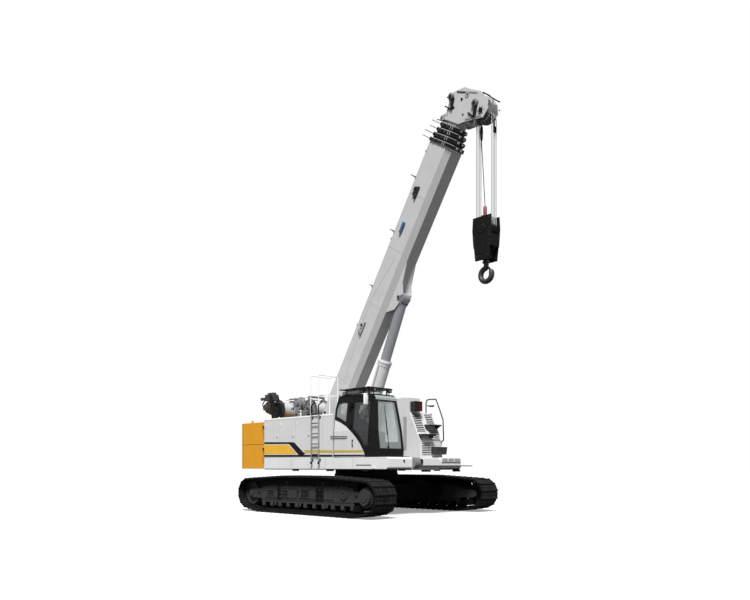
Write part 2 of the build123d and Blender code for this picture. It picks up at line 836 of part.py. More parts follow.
def cab_door():
    """Door with its window opening, handle and hinge knuckles, bent as the cab's side is."""
    right, middle = -cab_outer_y - 1, -(cab_outer_y + cab_inner_y) / 2
    door = cab_layer(0, cab_wall) & side_cut(door_outline, 0, right, middle)
    door -= side_cut(door_window, 0, right, middle)
    door += block(1622, 1640, -cab_outer_y - 35, -cab_outer_y - 20, 1950, 2110)
    for z in (1960, 2085):
        door += block(1622, 1640, -cab_outer_y - 25, -cab_outer_y, z, z + 15)
    rear = door_outline[0][0]
    for z in door_hinge_heights:
        door += rod_z(hinge_x, hinge_y, z, z + hinge_length, hinge_radius)
        door += block(hinge_x, rear + 45, hinge_y - 3, side_y(z) + 25, z + 10, z + hinge_length - 10)
        door -= rod_z(hinge_x, hinge_y, z - 1, z + hinge_length + 1, hinge_pin_radius + pin_clearance)
    return door


def door_hinge_pins():
    """Pins and lugs on the cab's rear post that carry the door."""
    pins = None
    for z in door_hinge_heights:
        low, high = z - 20, z + hinge_length + 20
        pin = rod_z(hinge_x, hinge_y, low, high, hinge_pin_radius)
        for lug_low, lug_high in [(low, z - 1), (z + hinge_length + 1, high)]:
            pin += block(hinge_x - 60, hinge_x + 8, hinge_y - 8, hinge_y + 8, lug_low, lug_high)
            pin += block(hinge_x - 60, hinge_x - 18, hinge_y + 7, side_y(z) + 25, lug_low, lug_high)
        pins = pin if pins is None else pins + pin
    return pins


def door_glass():
    """Pane of the cab door."""
    right, middle = -cab_outer_y - 1, -(cab_outer_y + cab_inner_y) / 2
    return cab_layer(20, glass_thickness) & side_cut(door_window, -seat_gap, right, middle)


def cab_seat():
    """Operator's seat on its pedestal."""
    middle = -(cab_outer_y + cab_inner_y) / 2
    floor = cab_floor_z + cab_wall + seat_gap
    seat = block(560, 1060, middle - 220, middle + 220, floor + 330, floor + 470)
    seat = fillet(seat.edges(), 35)
    back = side_profile(
        [(600, floor + 450), (700, floor + 440), (560, floor + 1050), (470, floor + 1050)],
        middle - 210, middle + 210,
    )
    base = block(640, 960, middle - 150, middle + 150, floor, floor + 340)
    return seat + back + base


def cab_console():
    """Two armrest consoles and the front column with its display."""
    middle = -(cab_outer_y + cab_inner_y) / 2
    floor = cab_floor_z + cab_wall + seat_gap
    pieces = []
    for side in (-1, 1):
        near = middle + side * 250
        far = middle + side * 370
        arm = block(700, 1180, near, far, floor, floor + 560)
        arm += rod_z(1120, (near + far) / 2, floor + 550, floor + 700, 22)
        pieces.append(arm)
    pieces.append(side_profile(
        [(1480, floor), (1640, floor), (1620, floor + 620), (1540, floor + 650), (1500, floor + 600)],
        middle - 120, middle + 120,
    ))
    return pieces


def roof_z(x):
    """Height of the cab roof, which falls a little to the front."""
    x0, z0 = cab_profile[5]
    x1, z1 = cab_profile[4]
    return z0 + (z1 - z0) * (x - x0) / (x1 - x0)


def roof_guard():
    """Guard plate above the cab roof on four short posts."""
    guard = block(
        460, 1560, -cab_outer_y + 10, -cab_inner_y - 10, roof_guard_z, roof_guard_z + roof_guard_thickness,
    )
    for x in (600, 1480):
        for y in (-cab_outer_y + 160, -cab_inner_y - 160):
            guard += block(x - 15, x + 15, y - 15, y + 15, roof_z(x - 15) + seat_gap, roof_guard_z + 2)
    return guard


def ladder():
    """Ladder on the right side, with hooped top ends above the house roof."""
    y = -half_width - 60
    rails = None
    for x in (-640, -320):
        rail = rod_z(x, y, deck_low + 160, 3020, 16)
        rail += bar((x, y, 3015), (x + 40, y + 120, 3120), 16)
        rails = rail if rails is None else rails + rail
    for z in (1640, 1930, 2220, 2510, 2800):
        rails += bar((-640, y, z), (-320, y, z), 14)
    for x in (-640, -320):
        for z in (1480, 2680):
            rails += bar((x, y, z), (x, -half_width - seat_gap, z), 14)
    return rails


def roof_rails():
    """Thin guard rails on the right house roof."""
    rails = None
    top = house_right_top_z + seat_gap
    outer = -half_width + 90
    inner = -house_right_inner_y - 90
    for x in (-840, -490):
        post = rod_z(x, outer, top, top + rail_height, 13)
        post += rod_z(x, inner, top, top + rail_height, 13)
        for height in (rail_height / 2, rail_height - 12):
            post += bar((x, outer, top + height), (x, inner, top + height), 12)
        rails = post if rails is None else rails + post
    for height in (rail_height / 2, rail_height - 12):
        rails += bar((-840, inner, top + height), (-490, inner, top + height), 11)
    return rails


def front_rail():
    """Bent guard rail at the front end of the left walkway."""
    y = half_width - 50
    foot_z = 1990.0
    foot = (front_x(foot_z) + 16, foot_z)
    points = [
        (1040, house_left_walk_z + seat_gap), (1040, 3180), (1080, 3260), (1190, 3275), (1420, 3260),
        (1580, 2910), (1690, 2640), (1710, 2060), foot,
    ]
    rail = None
    for start, end in zip(points, points[1:]):
        piece = bar((start[0], y, start[1]), (end[0], y, end[1]), 17)
        if end != foot:
            piece += Pos(end[0], y, end[1]) * Sphere(17.5)
        rail = piece if rail is None else rail + piece
    return rail


def stair_steps():
    """Black staggered treads on the sloping front, the low step box and the front step plate."""
    pieces = []
    # first and last Y of each tread, its top
    treads = [
        (half_width - 550, half_width - 70, 2500), (house_left_inner_y + 30, half_width - 500, 2210),
    ]
    for y0, y1, z in treads:
        back = front_x(z - 30) + seat_gap
        tread = block(back, back + 260, y0, y1, z - 30, z)
        for y in (y0, y1 - 12):
            gusset = [(back, z - 29), (back + 230, z - 29), (front_x(z - 130) + 15, z - 130)]
            tread += side_profile(gusset, y, y + 12)
        pieces.append(tread)
    back = front_x(1640) + seat_gap
    box = [(back, 1640), (back, 1850), (back + 250, 1850), (back + 215, 1640)]
    pieces.append(side_profile(box, half_width - 490, half_width - 70))
    front = deck_front_x + seat_gap
    pieces.append(block(front, front + front_plate_length, -web_inner_y, half_width, 1300, 1322))
    return pieces


def winch_frame():
    """Cheek plates that carry both winch drums above the revolving frame."""
    frame = None
    # drum X, drum Z, height of the seat, half width of the foot plate
    for x, z, seat, reach in [
        (main_drum_x, main_drum_z, counterweight_top_z, 400),
        (aux_drum_x, aux_drum_z, winch_seat_z, web_inner_y + web_thickness),
    ]:
        low = seat + seat_gap
        plate = block(x - 330, x + 330, -reach, reach, low, low + winch_plate)
        frame = plate if frame is None else frame + plate
        for side in (-1, 1):
            inner = side * (drum_half_width + drum_flange + 12)
            outer = side * (drum_half_width + drum_flange + 12 + winch_cheek)
            cheek = side_profile(
                [(x - 320, low), (x + 320, low), (x + 120, z + 160), (x - 120, z + 160)],
                min(inner, outer), max(inner, outer),
            )
            cheek -= rod_y(x, inner - side * 5, outer + side * 5, z, drum_shaft_radius + pin_clearance)
            frame += cheek
    return frame


def winch_drum(x, z):
    """Rope drum with flanges on its shaft."""
    reach = drum_half_width + drum_flange + 12 + winch_cheek + 20
    drum = rod_y(x, -drum_half_width, drum_half_width, z, drum_radius)
    for side in (-1, 1):
        drum += rod_y(
            x, side * drum_half_width, side * (drum_half_width + drum_flange), z, drum_flange_radius,
        )
    drum += rod_y(x, -reach, reach, z, drum_shaft_radius)
    return drum


def work_light():
    """Lamp box on the front of the left house."""
    low, high = 2880.0, 3150.0
    back = tall_front_x + seat_gap
    lamp = block(back + 30, back + 210, house_left_inner_y + 30, house_left_inner_y + 320, low, high)
    arm = block(back, back + 40, house_left_inner_y + 110, house_left_inner_y + 240, low + 90, high - 90)
    return lamp + arm


def section_outline(index):
    """Height and width of a boom section, the base section being the first."""
    return boom_height - index * section_step, boom_width - index * section_step


def boom_tube(height, width, t0, t1):
    """A solid bar of the boom's section: upright sides, lower corners cut at a slant."""
    share = height / boom_height
    high = boom_chamfer_high * share
    wide = boom_chamfer_wide * share
    small = 35 * share
    points = [
        (-width / 2, height / 2 - small), (-width / 2, -height / 2 + high),
        (-width / 2 + wide, -height / 2), (width / 2 - wide, -height / 2),
        (width / 2, -height / 2 + high), (width / 2, height / 2 - small),
        (width / 2 - small, height / 2), (-width / 2 + small, height / 2),
    ]
    outline = make_face(Polyline(*[(t0, y, z) for y, z in points], close=True))
    return extrude(outline, amount=t1 - t0, dir=(1, 0, 0))


def section_tip(index):
    """T of a section's collar face."""
    return base_tip_t + index * collar_step


def boom_section(index):
    """One telescoping section: a tube, a collar at its tip and wear pads inside and at its heel."""
    height, width = section_outline(index)
    heel = 120.0 + index * 70.0 if index else -100.0
    tip = section_tip(index)
    tube = boom_tube(height, width, heel, tip)
    if index < section_count - 1:
        tube += boom_tube(height + 2 * collar_proud, width + 2 * collar_proud, tip - collar_length, tip)
    inner_heel = heel - 1 if index else heel + 60
    tube -= boom_tube(height - 2 * boom_wall, width - 2 * boom_wall, inner_heel, tip + 1)
    roof = height / 2 - boom_wall
    pad = section_step / 2 - boom_wall - seat_gap
    if index < section_count - 1:
        for side in (-1, 1):
            y = side * (width / 2 - boom_wall - 60)
            tube += block(tip - 220, tip - 20, y - 30, y + 30, roof - pad, roof)
            y = side * (width / 2 - boom_chamfer_wide - 60)
            tube += block(tip - 220, tip - 20, y - 30, y + 30, -roof, pad - roof)
    return tube


def boom_base():
    """Base section with its foot, the lift cylinder bracket and the foot bosses."""
    base = boom_section(0)
    half = web_inner_y - 5
    for side in (-1, 1):
        base += rod_y(0, side * 200, side * half, 0, foot_boss_radius)
    base += block(-100, 60, -boom_width / 2, boom_width / 2, -boom_height / 2, boom_height / 2)
    base -= rod_y(0, -400, 400, 0, foot_pin_radius + pin_clearance)
    base -= side_profile([(-110, 400), (-110, 160), (140, 401)], -400, 400)
    base -= side_profile([(-110, -400), (-110, -160), (140, -401)], -400, 400)
    low = -boom_height / 2
    bracket = [
        (3980, low + 6), (4180, low - 250), (4420, low - 320),
        (4660, low - 310), (4900, low - 150), (5480, low + 6),
    ]
    for side in (-1, 1):
        inner = side * (cylinder_eye_width / 2 + 5)
        outer = side * (boom_width / 2 - boom_chamfer_wide)
        cheek = side_profile(bracket, min(inner, outer), max(inner, outer))
        base += cheek
    base -= rod_y(cylinder_head_t, -400, 400, cylinder_head_n, cylinder_pin_radius + pin_clearance)
    return boom_place(base)


def cylinder_head_pin():
    """Pin of the rod's eye in the boom bracket."""
    reach = boom_width / 2 - boom_chamfer_wide + 25
    return boom_place(rod_y(cylinder_head_t, -reach, reach, cylinder_head_n, cylinder_pin_radius))


def head_reach():
    """Half width over the head's cheek plates."""
    _, width = section_outline(section_count - 1)
    return width / 2 + seat_gap + head_plate


def boom_head():
    """Cheek plates welded on the last section, with cross plates and the sheave axles."""
    tip = section_tip(section_count - 1)
    height, width = section_outline(section_count - 1)
    outline = [
        (tip - 60, height / 2 - 10), (tip + 330, height / 2 + 40), (tip + 450, 430), (tip + 520, 440),
        (tip + 760, 50), (tip + 800, -560), (tip + 680, head_sheave_n - 60),
        (head_sheave_t + 90, head_sheave_n - 190), (head_sheave_t - 130, head_sheave_n - 150),
        (tip + 60, -480), (tip - 60, -height / 2 + 10),
    ]
    head_half_width = head_reach()
    head = None
    for side in (-1, 1):
        inner = side * (head_half_width - head_plate)
        outer = side * head_half_width
        cheek = side_profile(outline, min(inner, outer), max(inner, outer))
        head = cheek if head is None else head + cheek
    half = head_half_width - 5
    slope = [(tip + 640, 250), (tip + 760, 50), (tip + 735, 40), (tip + 615, 240)]
    head += side_profile(slope, -half, half)
    head += block(tip + 755, tip + 780, -half, half, -350, 40)
    foot = [(tip + 5, -270), (tip + 60, -470), (tip + 85, -470), (tip + 30, -270)]
    head += side_profile(foot, -half, half)
    head += block(tip + seat_gap, tip + 25, -half, half, -height / 2 + 10, height / 2 - 10)
    head -= rod_y(jib_pin_t, -300, 300, jib_pin_n, jib_pin_bore)
    head -= rod_y(head_sheave_t, -300, 300, head_sheave_n, sheave_pin_radius + pin_clearance)
    head -= rod_y(guide_sheave_t, -300, 300, guide_sheave_n, 35 + pin_clearance)
    return head


def sheave(t, n, y, radius, bore):
    """A rope sheave with its groove."""
    wheel = rod_y(t, y - sheave_width / 2, y + sheave_width / 2, n, radius)
    half = rope_radius + seat_gap
    groove = rod_y(t, y - half, y + half, n, radius + 1)
    groove -= rod_y(t, y - half - 1, y + half + 1, n, radius - groove_depth)
    wheel -= groove
    return wheel - rod_y(t, y - sheave_width, y + sheave_width, n, bore)


def sheave_rows():
    """Y of each main sheave."""
    first = -sheave_spacing * (head_sheave_count - 1) / 2
    return [first + index * sheave_spacing for index in range(head_sheave_count)]


def head_sheaves():
    """Main sheaves and the guide sheaves with their pins."""
    pieces = []
    reach = head_reach() + 20
    row = rod_y(head_sheave_t, -reach, reach, head_sheave_n, sheave_pin_radius)
    for y in sheave_rows():
        row += sheave(head_sheave_t, head_sheave_n, y, sheave_radius, sheave_pin_radius - 5)
    pieces.append(boom_place(row))
    guide = rod_y(guide_sheave_t, -reach, reach, guide_sheave_n, 35)
    for y in (-60, 60):
        guide += sheave(guide_sheave_t, guide_sheave_n, y, guide_sheave_radius, 30)
    pieces.append(boom_place(guide))
    return pieces


def lift_axis():
    """Foot point, direction and pin distance of the lift cylinder."""
    head_x, head_z = boom_point(cylinder_head_t, cylinder_head_n)
    length = math.hypot(head_x - cylinder_foot_x, head_z - cylinder_foot_z)
    angle = math.degrees(math.atan2(head_z - cylinder_foot_z, head_x - cylinder_foot_x))
    return length, angle


def lift_place(shape, angle):
    """Put a piece drawn along +X from the foot pin at the cylinder's place."""
    return Location((cylinder_foot_x, 0, cylinder_foot_z), (0, -angle, 0)) * shape


def along(start, end, radius):
    """A round bar along X."""
    return Pos((start + end) / 2, 0, 0) * Rot(0, 90, 0) * Cylinder(radius, end - start)


def lift_barrel(angle):
    """Cylinder barrel with its foot eye."""
    barrel = along(150, barrel_length, barrel_radius)
    barrel += along(barrel_length - 160, barrel_length, barrel_radius + 10)
    barrel += rod_y(0, -cylinder_eye_width / 2, cylinder_eye_width / 2, 0, cylinder_eye_radius)
    barrel += block(0, 170, -cylinder_eye_width / 2, cylinder_eye_width / 2, -110, 110)
    barrel -= along(barrel_bore_start, barrel_length + 1, rod_radius + pin_clearance)
    pin_reach = web_inner_y - foot_pin_side_gap
    barrel += rod_y(0, -pin_reach, pin_reach, 0, cylinder_pin_radius)
    return lift_place(barrel, angle)


def lift_rod(length, angle):
    """Piston rod with the eye at the boom."""
    rod = along(length - rod_length, length - 120, rod_radius)
    rod += rod_y(length, -cylinder_eye_width / 2, cylinder_eye_width / 2, 0, cylinder_eye_radius)
    rod += block(length - 160, length, -cylinder_eye_width / 2, cylinder_eye_width / 2, -95, 95)
    rod -= rod_y(length, -200, 200, 0, cylinder_pin_radius + pin_clearance)
    return lift_place(rod, angle)


def rope_falls():
    """Straight falls of the hoist rope between the head sheaves and the block."""
    x, z = boom_point(head_sheave_t, head_sheave_n)
    falls = []
    for y in sheave_rows():
        for side in (-1, 1):
            falls.append(rod_z(x + side * rope_pitch_radius, y, block_axle_z, z, rope_radius))
    return falls


def hook_block():
    """Cheek plates, cover strips, sheaves and axle of the hook block."""
    x, _ = boom_point(head_sheave_t, head_sheave_n)
    outline = [
        (x - 290, block_top_z - 330), (x - 270, block_top_z), (x + 270, block_top_z),
        (x + 290, block_top_z - 330), (x + 200, block_bottom_z), (x - 200, block_bottom_z),
    ]
    cheeks = None
    for side in (-1, 1):
        inner = side * (block_half_width - block_plate)
        outer = side * block_half_width
        cheek = side_profile(outline, min(inner, outer), max(inner, outer))
        cheeks = cheek if cheeks is None else cheeks + cheek
    half = block_half_width - 1
    cheeks += block(x - 130, x + 130, -half, half, block_bottom_z + 60, block_bottom_z + 230)
    for side in (-1, 1):
        cheeks += side_profile(
            [
                (x + side * 255, block_bottom_z + 330), (x + side * 280, block_bottom_z + 620),
                (x + side * 262, block_bottom_z + 620), (x + side * 238, block_bottom_z + 330),
            ],
            -half, half,
        )
    cheeks -= rod_z(x, 0, block_bottom_z - 10, block_bottom_z + 240, hook_shank_radius + pin_clearance)
    cheeks -= rod_y(x, -300, 300, block_axle_z, sheave_pin_radius + pin_clearance)
    return cheeks


def block_sheaves():
    """Sheaves of the hook block on their axle."""
    x, _ = boom_point(head_sheave_t, head_sheave_n)
    reach = block_half_width + 25
    row = rod_y(x, -reach, reach, block_axle_z, sheave_pin_radius)
    for y in sheave_rows():
        row += sheave(x, block_axle_z, y, sheave_radius, sheave_pin_radius - 5)
    return row


def hook():
    """Forged hook with its shank and nut, opening to the front."""
    x, _ = boom_point(head_sheave_t, head_sheave_n)
    top = block_bottom_z + 230
    centre_z = hook_tip_z + 80 + hook_bend_radius
    shank = rod_z(x, 0, centre_z + hook_bend_radius, top, hook_shank_radius)
    shank += rod_z(x, 0, top + seat_gap, top + 90, hook_shank_radius + 40)
    shank += rod_z(x, 0, top - 10, top + 10, hook_shank_radius)
    bend_path = ThreePointArc(
        (x, 0, centre_z + hook_bend_radius), (x - hook_bend_radius, 0, centre_z),
        (x, 0, centre_z - hook_bend_radius),
    ) + ThreePointArc(
        (x, 0, centre_z - hook_bend_radius),
        (x + hook_bend_radius * 0.92, 0, centre_z - hook_bend_radius * 0.38),
        (x + hook_bend_radius * 0.94, 0, centre_z + hook_bend_radius * 0.34),
    )
    section = Plane(origin=bend_path @ 0, z_dir=bend_path % 0) * Ellipse(62, 78)
    bend = sweep(section, path=bend_path)
    tip = Pos(x + hook_bend_radius * 0.94, 0, centre_z + hook_bend_radius * 0.34) * Sphere(60)
    return shank + bend + tip


def build():
    """Write every sub-part."""
    for name, side in [("right", -1), ("left", 1)]:
        save(f"track_{name}", track(side))
        save(f"side_frame_{name}", side_frame(side))
        save(f"rollers_{name}", *rollers(side))
        save(f"idler_{name}", idler(side))
        save(f"sprocket_{name}", sprocket(side))
        save(f"deck_{name}", side_deck(side))
    save("carbody", carbody())
    save("slew_ring_lower", lower_ring())
    save("slew_ring_upper", upper_ring())
    save("revolving_frame", revolving_frame())
    save("foot_pin", foot_pin())
    save("deck_nose", deck_nose())
    split = counterweight_split_z
    save("counterweight_lower", counterweight(deck_low, split))
    upper_slab = counterweight(split + seat_gap, counterweight_top_z)
    for eye in lifting_eyes():
        upper_slab += eye
    save("counterweight_upper", upper_slab)
    save("house_right", house_right())
    save("house_left", house_left())
    save("engine_block", engine_block())
    save("cab_shell", cab_shell())
    save("cab_side_panel", cab_side_panel())
    save("cab_glass", *cab_glass())
    save("cab_door", cab_door())
    save("door_glass", door_glass())
    save("cab_seat", cab_seat())
    save("cab_console", *cab_console())
    save("roof_guard", roof_guard())
    save("ladder", ladder())
    save("roof_rails", roof_rails())
    save("front_rail", front_rail())
    save("stair_steps", *stair_steps())
    save("winch_frame", winch_frame())
    save("main_winch", winch_drum(main_drum_x, main_drum_z))
    save("aux_winch", winch_drum(aux_drum_x, aux_drum_z))
    save("work_light", work_light())
    save("boom_base", boom_base())
    for index in range(1, section_count):
        section = boom_place(boom_section(index))
        save(f"boom_section_{index + 1}", section)
    save("boom_head", boom_place(boom_head()))
    save("head_sheaves", *head_sheaves())
    save("cylinder_head_pin", cylinder_head_pin())
    length, angle = lift_axis()
    save("lift_barrel", lift_barrel(angle))
    save("lift_rod", lift_rod(length, angle))
    save("rope_falls", *rope_falls())
    save("hook_block", hook_block())
    save("block_sheaves", block_sheaves())
    save("hook", hook())


build()
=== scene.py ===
import math

import bmesh
import bpy
from mathutils import Euler, Matrix, Vector


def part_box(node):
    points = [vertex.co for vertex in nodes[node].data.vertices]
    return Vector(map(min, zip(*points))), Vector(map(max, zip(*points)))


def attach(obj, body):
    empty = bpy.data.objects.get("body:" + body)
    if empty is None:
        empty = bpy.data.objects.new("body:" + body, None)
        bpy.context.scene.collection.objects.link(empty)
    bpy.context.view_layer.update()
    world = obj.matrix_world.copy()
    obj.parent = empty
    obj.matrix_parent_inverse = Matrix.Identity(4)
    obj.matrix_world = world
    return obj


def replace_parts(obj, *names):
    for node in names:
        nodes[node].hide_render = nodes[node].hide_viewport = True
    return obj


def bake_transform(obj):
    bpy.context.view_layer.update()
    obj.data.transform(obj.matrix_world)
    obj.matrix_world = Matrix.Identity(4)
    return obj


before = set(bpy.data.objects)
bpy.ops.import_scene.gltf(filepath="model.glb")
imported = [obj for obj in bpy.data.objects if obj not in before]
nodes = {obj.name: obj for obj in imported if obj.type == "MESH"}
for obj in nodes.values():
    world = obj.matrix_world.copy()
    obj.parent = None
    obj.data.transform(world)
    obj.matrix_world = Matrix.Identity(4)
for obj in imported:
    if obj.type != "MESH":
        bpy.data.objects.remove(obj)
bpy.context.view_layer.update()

# camera: level, at chest height, looking from the right front corner
cameraView = {"place": (14.672, -14.319, 1.28), "turn": 45.0, "lens": 33.696, "shift": 0.2227, "reach": 400.0}
cameraData = bpy.data.cameras.new("photoCamera")
cameraData.lens = cameraView["lens"]
cameraData.shift_y = cameraView["shift"]
cameraData.clip_end = cameraView["reach"]
cameraObject = bpy.data.objects.new("photoCamera", cameraData)
cameraObject.location = cameraView["place"]
cameraObject.rotation_euler = (math.radians(90), 0, math.radians(cameraView["turn"]))
bpy.context.collection.objects.link(cameraObject)
bpy.context.scene.camera = cameraObject
print("camera set")


# small tools for shapes
def meshes(count):
    return [bmesh.new() for index in range(count)]


def spin(degrees, axis):
    return Matrix.Rotation(math.radians(degrees), 3, axis)


def moveVerts(mesh, verts, turn, push):
    bmesh.ops.rotate(mesh, cent=(0, 0, 0), matrix=turn, verts=verts)
    bmesh.ops.translate(mesh, vec=push, verts=verts)


def addBox(mesh, low, high, bevel=0.0, segments=1):
    low, high = Vector(tuple(map(min, low, high))), Vector(tuple(map(max, low, high)))
    made = bmesh.ops.create_cube(mesh, size=1.0)["verts"]
    bmesh.ops.scale(mesh, vec=high - low, verts=made)
    bmesh.ops.translate(mesh, vec=(high + low) / 2, verts=made)
    if bevel:
        edges = list({edge for vert in made for edge in vert.link_edges})
        shaped = bmesh.ops.bevel(
            mesh, geom=edges, offset=bevel, affect="EDGES", segments=segments, profile=0.5, material=-1
        )
        made = list({vert for face in shaped["faces"] for vert in face.verts})
    return made


def addRod(mesh, start, end, radius, sides=12):
    start, end = Vector(start), Vector(end)
    line = end - start
    made = bmesh.ops.create_cone(
        mesh, cap_ends=True, segments=sides, radius1=radius, radius2=radius, depth=line.length
    )["verts"]
    moveVerts(mesh, made, line.to_track_quat("Z", "Y").to_matrix(), (start + end) / 2)
    return made


def addPlate(mesh, corners, push):
    face = mesh.faces.new([mesh.verts.new(corner) for corner in corners])
    thick = bmesh.ops.extrude_face_region(mesh, geom=[face], use_keep_orig=True)["geom"]
    bmesh.ops.translate(mesh, vec=push, verts=[item for item in thick if isinstance(item, bmesh.types.BMVert)])


# an outline of radius and height, turned about its axis: a closed ring, or open where it starts on the axis
def addTurned(mesh, outline, centre, axis, steps=24):
    old = set(mesh.verts)
    verts = [mesh.verts.new((radius, 0, height)) for radius, height in outline]
    pairs = list(zip(verts, verts[1:])) + ([(verts[-1], verts[0])] if outline[0][0] else [])
    edges = [mesh.edges.new(pair) for pair in pairs]
    bmesh.ops.spin(
        mesh, geom=verts + edges, cent=(0, 0, 0), axis=(0, 0, 1), angle=2 * math.pi, steps=steps, use_merge=True
    )
    made = [vert for vert in mesh.verts if vert not in old]
    bmesh.ops.remove_doubles(mesh, verts=made, dist=0.00001)
    made = [vert for vert in mesh.verts if vert not in old]
    moveVerts(mesh, made, Vector(axis).to_track_quat("Z", "Y").to_matrix(), centre)


# a turned solid, its outline carried on to the axis at both ends
def addSolid(mesh, outline, centre, axis, steps=24):
    last = [(0, outline[-1][1])] if outline[-1][0] else []
    addTurned(mesh, [(0, outline[0][1])] + outline + last, centre, axis, steps)


def addCap(mesh, centre, axis, foot, radius, top, high, steps):
    addSolid(mesh, [(radius, foot), (top, high)], centre, axis, steps)


def addRing(mesh, centre, axis, inner, outer, thick, steps=24):
    half = thick / 2
    addTurned(mesh, [(inner, -half), (outer, -half), (outer, half), (inner, half)], centre, axis, steps)


def addBolts(mesh, places, radius, push, sides=6):
    for place in places:
        addRod(mesh, place, Vector(place) + Vector(push), radius, sides)


def addBoltRing(mesh, centre, axis, ring, count, radius, push):
    turn = Vector(axis).to_track_quat("Z", "Y").to_matrix()
    step = 2 * math.pi / count
    spots = [Vector((math.cos(index * step), math.sin(index * step), 0)) * ring for index in range(count)]
    addBolts(mesh, [Vector(centre) + turn @ spot for spot in spots], radius, push)


def bendRod(mesh, points, radius, sides=10, loop=False):
    route = list(points) + ([points[0]] if loop else [])
    for start, end in zip(route, route[1:]):
        addRod(mesh, start, end, radius, sides)
    for point in points if loop else points[1:-1]:
        ball = bmesh.ops.create_icosphere(mesh, subdivisions=1, radius=radius * 1.02)["verts"]
        bmesh.ops.translate(mesh, vec=point, verts=ball)


def splitRod(mesh, start, end, radius, steps):
    for index in range(steps):
        addRod(mesh, start.lerp(end, index / steps), start.lerp(end, (index + 1) / steps), radius, 8)


# the corners of a flat form that stands at one Y
def flatAt(y, corners):
    return [(x, y, z) for x, z in corners]


def finishPiece(name, mesh, finishName, body="upper", smooth=False):
    bmesh.ops.recalc_face_normals(mesh, faces=mesh.faces[:])
    data = bpy.data.meshes.new(name)
    mesh.to_mesh(data)
    mesh.free()
    if smooth:
        data.polygons.foreach_set("use_smooth", [True] * len(data.polygons))
        data.set_sharp_from_angle(angle=math.radians(40))
    data.materials.append(finishes[finishName])
    piece = bpy.data.objects.new(name, data)
    bpy.context.collection.objects.link(piece)
    if body:
        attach(piece, body)
    return piece


# the boom stands at 58 degrees on its foot pin; along it T runs to the tip, Y to the left and N up from its axis
boomSet = {"pivot": (-1.47, 0.0, 2.45), "angle": 58.0, "half": 0.31, "high": 0.4, "chamferHigh": 0.15,
           "chamferWide": 0.12, "step": 0.06, "baseTip": 8.56, "collarStep": 0.14, "collarProud": 0.026}
boomTurn = Euler((0, -math.radians(boomSet["angle"]), 0)).to_matrix()


def boomAt(t, y, n):
    return Vector(boomSet["pivot"]) + boomTurn @ Vector((t, y, n))


def toBoom(*parts):
    for mesh in parts:
        moveVerts(mesh, mesh.verts[:], boomTurn, boomSet["pivot"])


# one node of a material: its settings, input values and links, giving back one of its outputs
def addNode(tree, kind, values=(), links=(), output=0, **settings):
    node = tree.nodes.new("ShaderNode" + kind)
    for name, value in settings.items():
        setattr(node, name, value)
    for name, value in dict(values).items():
        node.inputs[name].default_value = value
    for name, source in dict(links).items():
        tree.links.new(source, node.inputs[name])
    return node.outputs[output]


# paint with clouds and rain runs of dirt, uneven gloss and a fine grain
def paintFinish(name, colour, dirt, rough=0.42, metal=0.0, scale=3.0, share=0.35, streak=0.25, bump=0.0015, coat=0.0,
                fineScale=90.0, shine=0.4, alpha=1.0):
    finish = bpy.data.materials.new(name)
    finish.use_nodes = True
    tree = finish.node_tree
    place = addNode(tree, "TexCoord", output="Object")
    cloud = addNode(tree, "TexNoise", {"Scale": scale, "Detail": 5.0, "Roughness": 0.62}, {"Vector": place})
    drip = addNode(tree, "Mapping", {"Scale": (9.0, 9.0, 0.55)}, {"Vector": place})
    run = addNode(tree, "TexNoise", {"Scale": 2.2, "Detail": 3.0}, {"Vector": drip})
    fine = addNode(tree, "TexNoise", {"Scale": fineScale, "Detail": 2.0}, {"Vector": place})
    clouds = addNode(tree, "MapRange", {"From Min": 0.42, "From Max": 0.8, "To Max": share}, {"Value": cloud})
    runs = addNode(tree, "MapRange", {"From Min": 0.5, "From Max": 0.78, "To Max": streak}, {"Value": run})
    both = addNode(tree, "Math", (), {0: clouds, 1: runs}, operation="ADD", use_clamp=True)
    gloss = addNode(tree, "MapRange", {"To Min": max(0.05, rough - 0.1), "To Max": min(1.0, rough + 0.16)},
                    {"Value": cloud})
    shader = tree.nodes["Principled BSDF"]
    values = {"Metallic": metal, "Coat Weight": coat, "Specular IOR Level": shine, "Alpha": alpha}
    links = {"Base Color": addNode(tree, "Mix", {"A": (*colour, 1), "B": (*dirt, 1)}, {"Factor": both}, "Result",
                                   data_type="RGBA"),
             "Roughness": gloss,
             "Normal": addNode(tree, "Bump", {"Strength": 0.35, "Distance": bump}, {"Height": fine})}
    for socket, value in values.items():
        shader.inputs[socket].default_value = value
    for socket, source in links.items():
        tree.links.new(source, shader.inputs[socket])
    return finish


def glassFinish(name, colour, alpha):
    return paintFinish(name, colour, tuple(part * 0.8 for part in colour), rough=0.14, scale=1.2, share=0.3,
                       streak=0.2, bump=0.0001, shine=0.5, fineScale=6.0, alpha=alpha)


